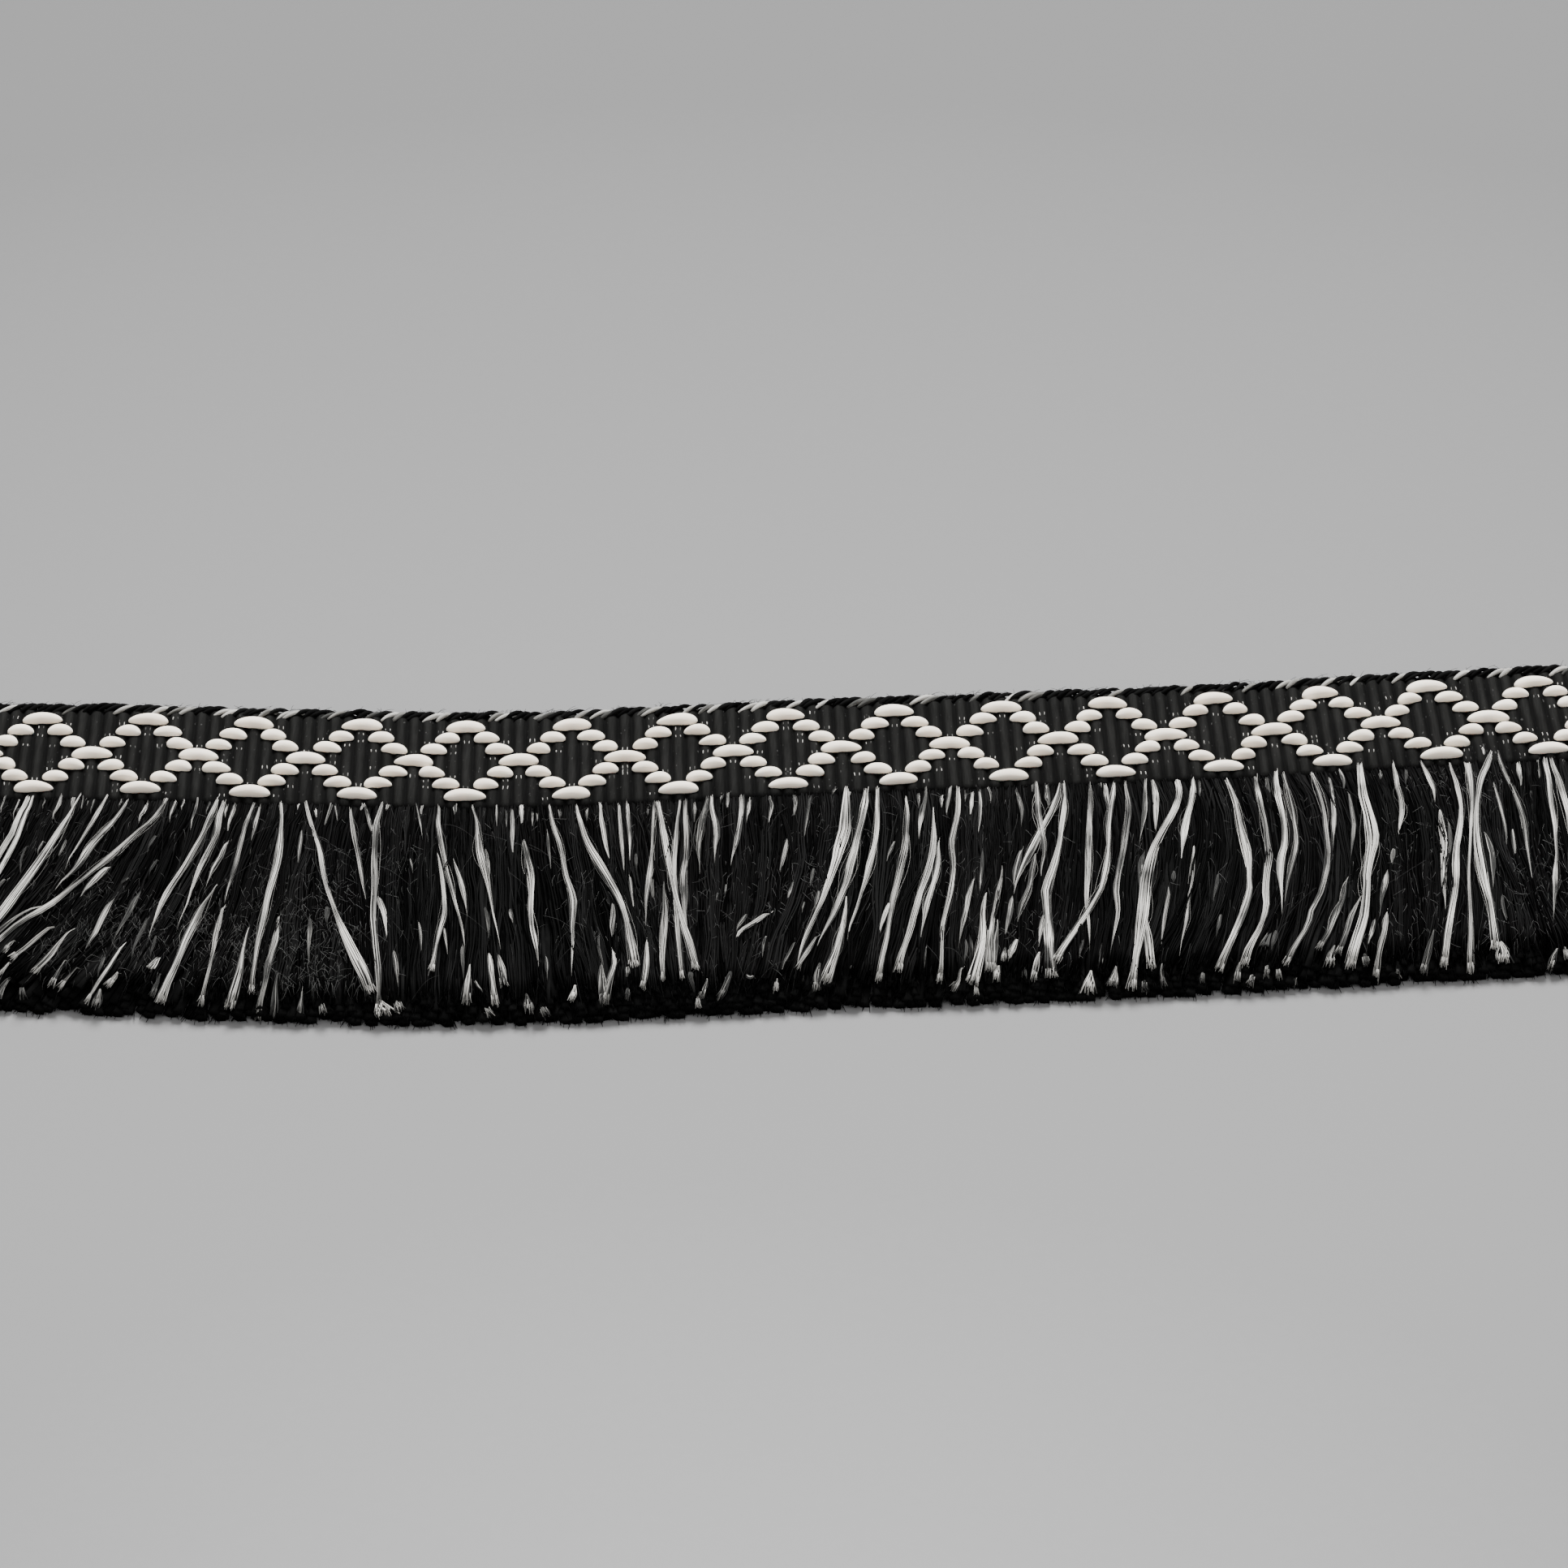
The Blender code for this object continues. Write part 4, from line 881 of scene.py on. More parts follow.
class Nodes:
    """A short way to write a material's node tree."""

    def __init__(self, name):
        self.material = bpy.data.materials.new(name)
        self.material.use_nodes = True
        self.tree = self.material.node_tree
        self.shader = self.tree.nodes["Principled BSDF"]

    def add(self, kind, **values):
        node = self.tree.nodes.new(kind)
        for key, value in values.items():
            if key in node.inputs:
                node.inputs[key].default_value = value
            else:
                setattr(node, key, value)
        return node

    def join(self, output, target):
        self.tree.links.new(output, target)

    def place(self):
        return self.add("ShaderNodeTexCoord").outputs["Object"]

    def yarn_uv(self):
        return self.add("ShaderNodeUVMap", uv_map="yarn").outputs["UV"]

    def shade(self):
        return self.add("ShaderNodeAttribute", attribute_name="shade").outputs["Fac"]

    def ramp(self, factor, stops):
        """Colours through a list of (value, colour); the values may pass one."""
        first, last = stops[0][0], stops[-1][0]
        scaled = self.add("ShaderNodeMapRange")
        scaled.inputs["From Min"].default_value = first
        scaled.inputs["From Max"].default_value = last
        self.join(factor, scaled.inputs["Value"])
        stops = [((value - first) / (last - first), colour) for value, colour in stops]
        node = self.add("ShaderNodeValToRGB")
        self.join(scaled.outputs["Result"], node.inputs["Fac"])
        elements = node.color_ramp.elements
        for element, (place, colour) in zip(elements, (stops[0], stops[-1])):
            element.position = place
            element.color = (*colour, 1.0)
        for place, colour in stops[1:-1]:
            elements.new(place).color = (*colour, 1.0)
        return node.outputs["Color"]

    def noise(self, vector, scale, stretch, detail):
        mapping = self.add("ShaderNodeMapping", Scale=stretch)
        self.join(vector, mapping.inputs["Vector"])
        node = self.add("ShaderNodeTexNoise", Scale=scale, Detail=detail)
        self.join(mapping.outputs["Vector"], node.inputs["Vector"])
        return node.outputs["Fac"]

    def add_colours(self, first, second):
        node = self.add("ShaderNodeMix", data_type="RGBA", blend_type="ADD")
        node.inputs[0].default_value = 1.0
        self.join(first, node.inputs[6])
        self.join(second, node.inputs[7])
        return node.outputs[2]

    def sum(self, first, second, scale):
        """The first value and a share of the second."""
        node = self.add("ShaderNodeMath", operation="MULTIPLY_ADD")
        self.join(second, node.inputs[0])
        node.inputs[1].default_value = scale
        self.join(first, node.inputs[2])
        return node.outputs[0]

    def bump(self, height, distance):
        node = self.add("ShaderNodeBump", Strength=1.0, Distance=distance)
        self.join(height, node.inputs["Height"])
        self.join(node.outputs["Normal"], self.shader.inputs["Normal"])

    def finish(self, colour, **values):
        """Colours the shader and sets its even values, named with _ for a space."""
        self.join(colour, self.shader.inputs["Base Color"])
        for name, value in values.items():
            self.shader.inputs[name.replace("_", " ")].default_value = value
        return self.material


def yarn_material(yarn):
    """Soft floss: fine filaments along the yarn, shade by yarn, a faint bloom."""
    nodes = Nodes(yarn.name)
    uv = nodes.yarn_uv()
    fibre = nodes.noise(uv, 1.0, (yarn.filaments, 1 / (yarn.length * MM), 1.0), 3.0)
    blotch = nodes.noise(uv, 1.0, (1.5, 420.0, 1.0), 2.0)
    tone = nodes.sum(nodes.sum(nodes.shade(), fibre, 0.55), blotch, 0.30)
    colour = nodes.ramp(tone, ((0.25, yarn.dark), (1.25, yarn.light)))
    nodes.bump(fibre, yarn.bump)
    return nodes.finish(
        colour, Roughness=yarn.roughness, Specular_IOR_Level=yarn.specular,
        Sheen_Weight=yarn.sheen, Sheen_Roughness=0.5,
    )


def band_material():
    """The black cross ribs: yarns across the band, with painted shade that darkens the grooves."""
    nodes = Nodes("band_ribs")
    place = nodes.place()
    fibre = nodes.noise(place, 5200.0, (1.0, 0.09, 0.6), 3.0)
    cloud = nodes.noise(place, 420.0, (1.0, 0.5, 1.0), 2.0)
    speck = nodes.noise(place, 3600.0, (1.0, 0.45, 1.0), 1.0)
    tone = nodes.sum(nodes.sum(nodes.shade(), fibre, 0.8), cloud, 0.6)
    # Painted shade: low tones, which come from the grooves, take the darkest blacks.
    blacks = nodes.ramp(tone, (
        (0.55, (0.0020, 0.0020, 0.0020)),
        (1.35, (0.0048, 0.0048, 0.0046)),
        (1.95, (0.0122, 0.0122, 0.0116)),
    ))
    spots = nodes.ramp(speck, ((0.72, (0.0, 0.0, 0.0)), (0.82, (0.035, 0.035, 0.034))))
    nodes.bump(fibre, 0.00006)
    return nodes.finish(nodes.add_colours(blacks, spots), Roughness=0.8, Specular_IOR_Level=0.015)


def float_material():
    """The cream floats: plump soft cotton, fine fibres along the float."""
    nodes = Nodes("cream_floats")
    uv = nodes.yarn_uv()
    fibre = nodes.noise(uv, 1.0, (14.0, 500.0, 1.0), 3.0)
    cloud = nodes.noise(uv, 1.0, (2.0, 900.0, 1.0), 1.0)
    tone = nodes.sum(nodes.sum(nodes.shade(), fibre, 0.35), cloud, 0.25)
    colour = nodes.ramp(tone, ((0.30, (0.85, 0.755, 0.635)), (1.20, (0.96, 0.870, 0.750))))
    nodes.bump(fibre, 0.00003)
    return nodes.finish(
        colour, Roughness=0.72, Specular_IOR_Level=0.25, Sheen_Weight=0.15,
        Subsurface_Weight=0.22, Subsurface_Radius=(0.0006, 0.0005, 0.0004), Subsurface_Scale=1.0,
    )


def floor_material():
    """A plain pale studio floor, with a painted pool of light that makes it brighter in front of the trim."""
    nodes = Nodes("floor_painted_falloff")
    place = nodes.place()
    # Painted light: a spherical gradient about a point in front of the trim darkens the floor outwards.
    mapping = nodes.add("ShaderNodeMapping", Location=(0.0, 0.35, 0.0), Scale=(2.5, 2.5, 1.0))
    nodes.join(place, mapping.inputs["Vector"])
    fall = nodes.add("ShaderNodeTexGradient", gradient_type="SPHERICAL")
    nodes.join(mapping.outputs["Vector"], fall.inputs["Vector"])
    grain = nodes.noise(place, 900.0, (1, 1, 1), 2.0)
    tone = nodes.sum(fall.outputs["Fac"], grain, 0.02)
    colour = nodes.ramp(tone, [(value, (grey, grey, grey)) for value, grey in FLOOR_FALLOFF_GREYS])
    return nodes.finish(colour, Roughness=0.9, Specular_IOR_Level=0.1)


def make_floor():
    """The plane that the trim lies on."""
    corners = [(x * FLOOR_HALF, y * FLOOR_HALF, 0.0) for x, y in ((-1, -1), (1, -1), (1, 1), (-1, 1))]
    mesh = bpy.data.meshes.new("floor")
    mesh.from_pydata(corners, [], [(0, 1, 2, 3)])
    mesh.materials.append(floor_material())
    floor = add_object("floor", mesh)


def make_lights():
    """A broad soft light behind, a weak one over the front, and a pale even surround."""
    for light in LIGHTS:
        data = bpy.data.lights.new(light.name, "AREA")
        data.shape = "SQUARE"
        data.size = light.size
        data.energy = light.power
        lamp = add_object(light.name, data)
        lamp.location = light.place
        lamp.rotation_euler = Vector(light.place).to_track_quat("Z", "Y").to_euler()
    world = bpy.data.worlds.new("surround")
    world.use_nodes = True
    background = world.node_tree.nodes["Background"]
    background.inputs["Color"].default_value = (1.0, 1.0, 1.0, 1.0)
    background.inputs["Strength"].default_value = SURROUND
    bpy.context.scene.world = world


def rib_turn(along):
    """Ribs counted along the band: a whole number in each groove."""
    return (along - PATTERN_START) / RIB + 0.5 + REPEATS * RIBS_PER_REPEAT / 2


def groove_share(along):
    """0 on the crest of a rib, 1 in the grooves beside it."""
    return np.abs(2 * (rib_turn(along) % 1.0) - 1)


def rib_height(along, across):
    """The ribbed face: rounded ribs with deep grooves, falling off at both edges."""
    lift = np.sin(np.floor(rib_turn(along)) * 12.9898) * RIB_UNEVEN
    height = RIB_CREST + lift - (RIB_CREST - RIB_VALLEY) * groove_share(along) ** RIB_POWER
    near = np.clip(np.minimum(across, BAND_WIDTH - across) / EDGE_ROUND, 0.0, 1.0)
    drop = 1 - np.sqrt(np.clip(1 - (1 - near) ** 2, 0.0, 1.0))
    return height - EDGE_DROP * drop


def build_band():
    """The ribbed cloth of the heading, a thin closed sheet."""
    along = np.linspace(-LENGTH / 2, LENGTH / 2, REPEATS * RIBS_PER_REPEAT * RIB_COLUMNS + 1)
    rim = np.array([0.0, 0.08, 0.30]) * EDGE_ROUND
    inner = np.linspace(EDGE_ROUND, BAND_WIDTH - EDGE_ROUND, 8)
    across = np.concatenate([rim, inner, BAND_WIDTH - rim[::-1]])
    grid_along, grid_across = np.meshgrid(along, across, indexing="ij")
    top = band_place(grid_along, grid_across, rib_height(grid_along, grid_across))
    under = np.array([1.0, 0.75, 0.25, 0.0]) * BAND_WIDTH
    under_height = np.array([0.30, 0.02, 0.02, 0.30]) * MM
    low_along, low_across = np.meshgrid(along, under, indexing="ij")
    groove = BACK_GROOVE * groove_share(low_along) ** RIB_POWER
    low = band_place(low_along, low_across, under_height + groove)
    loops = np.concatenate([top, low], axis=1)[None]
    vertices, faces = loft(loops[:, :, ::-1])
    # Painted shade: the shade attribute is lowest in the grooves, which the ribs' material turns darker.
    crest = 1 - groove_share(along) ** 2
    shade = np.broadcast_to(crest[:, None], loops.shape[1:3])
    return make_piece("band_cloth", vertices, faces, band_material(), shade, None, ("heading",))


def float_places():
    """(row, along, half length) of every cream float on the band."""
    places = []
    for repeat in range(-REPEATS // 2 - 1, REPEATS // 2 + 2):
        for row in range(FLOAT_ROWS):
            step = min(row, FLOAT_ROWS - 1 - row)
            half = (LONG_FLOAT if step in LONG_STEPS else SHORT_FLOAT) / 2
            for phase in ROW_PHASES[step]:
                along = PATTERN_START + (repeat + phase) * REPEAT
                if abs(along) < LENGTH / 2 + half * 0.4:
                    places.append((row, along, half))
    return places


def build_floats(rng):
    """The plump cream floats that draw the diamonds."""
    places = float_places()
    count, stations, sides = len(places), 15, 10
    row, centre, half = (np.array(values, float)[:, None, None] for values in zip(*places))
    s = np.sin(np.linspace(-np.pi / 2, np.pi / 2, stations))[None, :, None]
    angle = (2 * np.pi * np.arange(sides) / sides)[None, None, :]

    def chance(spread):
        return rng.normal(0.0, spread, (count, 1, 1))

    def plump(power, spread):
        """Full in the middle and closed at both ends; a higher power is blunter."""
        return size * (1 - np.abs(s) ** power + 1e-6) ** 0.5 * (1 + chance(spread))

    lean = np.clip(1 + chance(0.16) * s, 0.65, 1.35)
    size = np.where(half > SHORT_FLOAT / 2 + 0.1 * MM, 1.0, SHORT_PLUMPNESS)
    near = FLOAT_NEAR * plump(3.7, 0.05) * lean
    far = FLOAT_FAR * plump(2.1, 0.05) * lean
    tall = FLOAT_TALL * plump(2.3, 0.06) * (0.5 + 0.5 * lean)
    cosine, sine = np.cos(angle), np.sin(angle)
    aside = np.where(cosine > 0, far, near) * cosine
    rise = np.where(sine > 0, tall, FLOAT_BELOW * (1 - s * s)) * np.abs(sine) ** 0.85 * np.sign(sine)
    base = FLOAT_BASE - 0.12 * MM * s * s
    along = centre + chance(0.06 * MM) + s * half * (1 + chance(0.04)) + 0 * angle
    arch = 0.07 * MM * (0.6 - s * s)
    across = FIRST_ROW + row * ROW_PITCH + chance(0.04 * MM) + chance(0.06 * MM) * s + arch + aside
    along = np.clip(along, -LENGTH / 2 - 0.1 * MM, LENGTH / 2 + 0.1 * MM)
    loops = band_place(along, across, base + rise)
    vertices, faces = loft(loops)
    shades = np.broadcast_to(rng.uniform(0.25, 0.75, (count, 1, 1)), (count, stations, sides))
    uv = tube_uv(loops.mean(axis=2), sides)
    return make_piece("band_floats", vertices, faces, float_material(), shades, uv)


def build_dips(material, rng):
    """Slits of pale yarn beside the rib that a float dives under."""
    spots = []
    for row, along, half in float_places():
        for side in (-1, 1):
            groove = round(rib_turn(along + side * half)) - rib_turn(along)
            crest = along + (groove + side * 0.5) * RIB
            across = FIRST_ROW + row * ROW_PITCH
            for slit in SLITS:
                if rng.random() < slit.chance:
                    spot = across - (slit.below + rng.uniform(-0.2, 0.2)) * MM
                    length = rng.uniform(0.24, 0.42) * MM
                    spots.append((crest - SLIT_ASIDE, spot, length))
                    spots.append((crest + SLIT_ASIDE, spot + rng.normal(0, 0.06) * MM, length))
    spots = [spot for spot in spots if abs(spot[0]) < LENGTH / 2 - 0.3 * MM and spot[1] > 0.5 * MM]
    along, across, half = (np.array(values)[:, None] for values in zip(*spots))
    t = np.linspace(-1, 1, 5)[None, :]
    lean = rng.uniform(-0.12, 0.12, along.shape)
    level = rib_height(along, across) + (0.015 - 0.10 * t * t) * MM
    lines = band_place(along + t * half * lean, across + t * half, level)
    wide = SLIT_HALF_WIDTH * np.sqrt(1.06 - t * t) * rng.uniform(0.7, 1.3, along.shape)
    shade = rng.uniform(-0.25, 0.36, len(spots))
    make_tubes("band_dips", lines, wide, wide * 0.9, 5, material, shade)


def build_selvedge(black, pale, hair, rng):
    """Slanted yarn loops that wrap the band's free edge, with a little fuzz."""
    count = REPEATS * LOOPS_PER_REPEAT
    root = -LENGTH / 2 + (np.arange(count) + 0.5) * LOOP
    phase = ((root - PATTERN_START) / REPEAT + 0.5) % 1.0 - 0.5
    near_pale = np.min(np.abs(phase[:, None] - np.array(PALE_LOOPS)), axis=1) < 0.5 / LOOPS_PER_REPEAT
    is_pale = near_pale & (rng.random(count) < PALE_LOOP_SHARE)
    t = np.linspace(0, 1, 12)[None, :]
    slant = rng.uniform(2.6, 4.8, (count, 1)) * LOOP
    knots = np.linspace(0, 1, len(LOOP_PATH))
    across, height = (
        np.interp(t, knots, np.array(values) * MM) + rng.normal(0, 0.06 * MM, (count, 1))
        for values in zip(*LOOP_PATH)
    )
    across = BAND_WIDTH + across - PALE_LOOP_INSET * is_pale[:, None]
    along = np.clip(root[:, None] + slant * (t - 0.35), -LENGTH / 2, LENGTH / 2)
    lines = band_place(along, across, height)
    body = 0.45 + 0.55 * np.sin(np.pi * np.clip(t * 1.1, 0, 1)) ** 0.6
    wide = LOOP_HALF_WIDTH * body * rng.uniform(0.85, 1.25, (count, 1))
    for name, chosen, material, slot, tone in (
        ("selvedge_black", ~is_pale, black, "band_yarn", 0.3),
        ("selvedge_pale", is_pale, pale, "cream_yarn", -0.03),
    ):
        shade = tone + rng.uniform(-0.25, 0.35, chosen.sum())
        make_tubes(name, lines[chosen], wide[chosen], wide[chosen] * 0.85, 7, material, shade)

    each = (EDGE_HAIRS, 1)
    place = rng.uniform(-LENGTH / 2, LENGTH / 2, each)
    t = np.linspace(0, 1, 5)[None, :]
    reach = rng.uniform(0.15, 0.65, each) * MM
    along = place + rng.normal(0.3, 0.6, each) * MM * t
    across = BAND_WIDTH - rng.uniform(0.0, 0.6, each) * MM + reach * t
    height = 1.45 * MM + rng.uniform(-0.3, 0.35, each) * MM * t + 0.12 * MM * np.sin(t * np.pi)
    shade = rng.uniform(-0.2, 0.5, EDGE_HAIRS)
    lines = band_place(along, across, height)
    make_hairs("selvedge_fuzz", lines, EDGE_HAIR_RADIUS * (1 - 0.4 * t), hair, shade)


def build_cut_ends(black, pale, rng):
    """Yarn ends that fray out of the band's two cut ends."""
    for yarns, material in zip(END_YARNS, (black, pale)):
        count = yarns.each * 2
        radius = yarns.radius * MM
        way = np.repeat([-1.0, 1.0], yarns.each)[:, None]
        across = rng.uniform(0.4, 14.5, (count, 1)) * MM
        height = rng.uniform(0.25, 1.35, (count, 1)) * MM
        reach = rng.uniform(0.2, 1.3, (count, 1)) * MM
        t = np.linspace(0, 1, 5)[None, :]
        bend = rng.normal(0, 0.35, (count, 1)) * reach * t * t
        drop = rng.uniform(0.0, 0.5, (count, 1)) * reach * t * t
        inside = 0.3 * MM
        base = band_place(way * (LENGTH / 2 - inside), across, height)
        ahead = unit(band_place(way * (LENGTH / 2), across, height) - base)
        lines = base + ahead * ((reach + inside) * t)[..., None]
        lines[..., 1] += bend
        lines[..., 2] = np.maximum(lines[..., 2] - drop, radius)
        shade = rng.uniform(0.0, 0.6, count)
        make_hairs(yarns.name, lines, radius * (1 - 0.3 * t), material, shade, sides=4)


def fringe_place(along, away, height):
    """Points of the fringe, by distance from the band's edge."""
    return np.stack(np.broadcast_arrays(along, edge_line(along) - away, height), axis=-1)


def sweep_at(root, away, strength):
    """The fringe's sideways shift at a distance from its root."""
    t = np.clip(away / FRINGE_REACH, 0.0, 1.0)
    lean = smooth_through(FRINGE_SWEEP, "lean", root)
    bow = smooth_through(FRINGE_SWEEP, "bow", root)
    return strength * (lean * t ** SWEEP_POWER + bow * np.sin(np.pi * t))


def waver(rng, count, away, size, wave):
    """A smooth chance wander for each of many yarns."""
    first = rng.uniform(0, 2 * np.pi, (count, 1))
    second = rng.uniform(0, 2 * np.pi, (count, 1))
    swing = np.sin(away / wave * 2 * np.pi + first) + 0.5 * np.sin(away / wave * 4.6 * np.pi + second)
    return size * swing * rng.uniform(0.3, 1.0, (count, 1)) * np.clip(away / (4 * MM), 0.0, 1.0)


def wander(rng, run, step, spread):
    """A smooth chance value along each of many yarns, new about every step."""
    place = run / step + rng.uniform(0, 1, (len(run), 1))
    place = place - place.min()
    knot = np.floor(place).astype(int)
    part = place - knot
    ease = part * part * (3 - 2 * part)
    values = rng.normal(0.0, spread, (len(run), knot.max() + 2))
    low = np.take_along_axis(values, knot, axis=1)
    high = np.take_along_axis(values, knot + 1, axis=1)
    return low * (1 - ease) + high * ease


def side_of(lines):
    """Level unit vectors square to the lines."""
    tangent = np.gradient(lines, axis=1)
    return unit(np.stack([tangent[..., 1], -tangent[..., 0], np.zeros(lines.shape[:2])], axis=-1))


def floss(lines, half, dome, count, rng, ragged=0.25 * MM, spin=0.12, overlap=(1.05, 1.75), grain=0.045 * MM):
    """Fine filaments side by side that make flat floss ribbons about the lines."""
    yarns, stations, _ = lines.shape
    each = (yarns, count, 1)
    t = np.linspace(0, 1, stations)
    place = np.linspace(-1, 1, count)[None, :, None] + rng.normal(0, 0.30 / count, each)
    turn = rng.uniform(0, 6.3, each)
    speed = rng.uniform(4.0, 12.0, each)
    across = place + spin * np.sin(turn + speed * t)
    width = half[:, None, :]
    path = lines[:, None] + side_of(lines)[:, None] * (width * across)[..., None]
    bulge = 1 - np.clip(np.abs(across), 0, 1.25) ** 2
    uneven = rng.normal(0, grain, each) + 0.5 * grain * np.sin(turn * 3 + speed * 1.7 * t)
    path[..., 2] += dome * bulge * np.clip(width / (0.4 * MM), 0.2, 1.2) + uneven
    tangent = unit(path[:, :, -1] - path[:, :, -2])
    path[:, :, -1] += tangent * rng.normal(0, ragged, each)
    path[:, :, 0] -= tangent * rng.normal(0, ragged * 0.5, each)
    wide = width / count * rng.uniform(*overlap, each) + 0 * across
    wide = np.clip(wide, 0.016 * MM, None)
    tall = np.clip(wide * 0.75, 0.016 * MM, 0.085 * MM)
    path[..., 2] = np.maximum(path[..., 2], tall)
    total = yarns * count
    return path.reshape(total, stations, 3), wide.reshape(total, stations), tall.reshape(total, stations)


def layer_lines(layer, count, stations, rng):
    """Centre lines of one layer of yarns, from the band's edge to the cut tips."""
    level, settled = layer.level * MM, layer.settled * MM
    pitch = LENGTH / count
    root = (-LENGTH / 2 + (np.arange(count) + 0.5) * pitch)[:, None]
    root = root + rng.uniform(-0.35, 0.35, (count, 1)) * pitch
    lean = smooth_through(FRINGE_SWEEP, "lean", root) * layer.strength
    reach = FRINGE_REACH - layer.shorter * MM - lean * lean / (2 * FRINGE_REACH)
    reach = reach - np.abs(rng.normal(0.0, layer.uneven * MM, (count, 1)))
    t = np.linspace(0, 1, stations)[None, :] ** 0.9
    away = -ROOT_TUCK + (reach + ROOT_TUCK) * t
    loose = layer.strength * (1 + rng.normal(0.0, layer.stray, (count, 1)))
    along = root + sweep_at(root, away, loose) + waver(rng, count, away, 0.24 * MM, 17 * MM)
    rise = smoothstep(-ROOT_TUCK, SETTLED_AT, away)
    height = level + (settled - level) * rise + waver(rng, count, away, 0.07 * MM, 11 * MM)
    height = np.minimum(height, surface_height(away) - 0.30 * MM)
    return fringe_place(along, away, height), away, reach


def core_layer(layer, material, rng, replaces):
    """A layer of plain black yarns, seen between and below the finer ones, and its tips."""
    lines, away, reach = layer_lines(layer, CORE_YARNS, 11, rng)
    start = 0.55 + 0.45 * smoothstep(0.0, 5 * MM, away)
    end = 1 + (layer.tip - 1) * smoothstep(reach - 1.6 * MM, reach, away)
    wide = CORE_HALF_WIDTH * start * end
    tall = CORE_HALF_HEIGHT * start * end
    lines[..., 2] = np.maximum(lines[..., 2], tall)
    shade = rng.uniform(0.0, 0.7, CORE_YARNS)
    make_tubes(layer.name, lines, wide, tall, 5, material, shade, replaces)
    return [(line, half, 0.0) for line, half in zip(lines, wide)]


def floss_layer(layer, material, rng):
    """A layer of black floss, each yarn of fine filaments, and its tips."""
    count = (FLOSS_YARNS, 1)
    lines, away, _ = layer_lines(layer, FLOSS_YARNS, 14, rng)
    lines[..., 2] += rng.normal(0, 0.12 * MM, count) * smoothstep(0.0, 3 * MM, away)
    swell = np.clip(1 + wander(rng, away, 5 * MM, 0.26), 0.4, 1.7)
    start = 0.6 + 0.4 * smoothstep(0.0, 5 * MM, away)
    half = FLOSS_HALF_WIDTH * swell * start
    path, wide, tall = floss(lines, half, 0.20 * MM, layer.filaments, rng, 0.30 * MM, 0.20)
    shade = rng.uniform(0.0, 1.0, count) ** 3.5 + rng.uniform(-0.15, 0.25, (FLOSS_YARNS, layer.filaments))
    make_tubes(layer.name, path, wide, tall, 3, material, shade.ravel())
    return [(line, width * 0.8, 0.1) for line, width in zip(lines, half)]


def over_wisps(material, rng):
    """Black wisps that stray over the pale yarns and cut across them."""
    each, filaments = (WISPS, 1), 4
    root = rng.uniform(-LENGTH / 2, LENGTH / 2, each)
    start = rng.uniform(1.0, 22.0, each) * MM
    span = rng.uniform(4.0, 13.0, each) * MM
    span = np.minimum(span, 28.5 * MM - start)
    t = np.linspace(0, 1, 10)[None, :]
    away = start + span * t
    drift = rng.normal(0.0, 0.13, each) * span * t
    along = root + sweep_at(root, away, rng.normal(1.0, 0.15, each)) + drift
    height = surface_height(away) + 0.20 * MM - 0.75 * MM * np.abs(2 * t - 1) ** 2.5
    half = rng.uniform(0.10, 0.26, each) * MM * (1.1 - np.abs(2 * t - 1) ** 2)
    path, wide, tall = floss(fringe_place(along, away, height), half, 0.10 * MM, filaments, rng)
    shade = rng.uniform(0.0, 0.7, each) + rng.uniform(-0.1, 0.2, (WISPS, filaments))
    make_tubes("over_wisps", path, wide, tall, 3, material, shade.ravel())


def lock_lines(lock, stations):
    """A listed yarn's centre line, its half width and the run along it."""
    path = np.array(lock.path, float)
    along, away, drop = photo_places(path[:, :2])
    steps = np.hypot(np.diff(along), np.diff(away + drop))
    knots = np.concatenate([[0.0], np.cumsum(steps)])
    run = np.linspace(0.0, knots[-1], stations)
    rows = [Knot(*row) for row in zip(knots, along, away, drop, path[:, 2])]
    along, away, drop, width = (smooth_through(rows, name, run) for name in ("x", "y", "drop", "width"))
    dive = min(1.6 * MM, run[-1] * 0.25)
    depth = 0.12 * (1 - smoothstep(0.0, 0.8 * MM, run))
    taper = np.ones(stations)
    if lock.start == "under":
        depth = 1 - smoothstep(0.0, dive, run)
        share = 0.6 if lock.end == "fan" and len(path) < LONG_PATH else 0.3
        taper = taper * np.clip(run / (share * run[-1]), 0.0, 1.0) ** 0.8
    if lock.end == "under":
        depth = depth + smoothstep(run[-1] - dive, run[-1], run)
        taper = taper * np.clip((run[-1] - run) / (0.30 * run[-1]), 0.0, 1.0) ** 0.8
    lift = LOCK_LIFT + BRIGHT_LIFT * max(lock.tone - BRIGHT, 0.0)
    height = surface_height(away) + lift - np.maximum(drop, 0.0) - depth * 0.75 * MM
    line = fringe_place(along, away, np.maximum(height, 0.10 * MM))
    half = np.clip(width * MM / PIXELS_PER_MM / 2 * SLIM, 0.015 * MM, None)
    return line, half * np.maximum(taper, 0.06), run


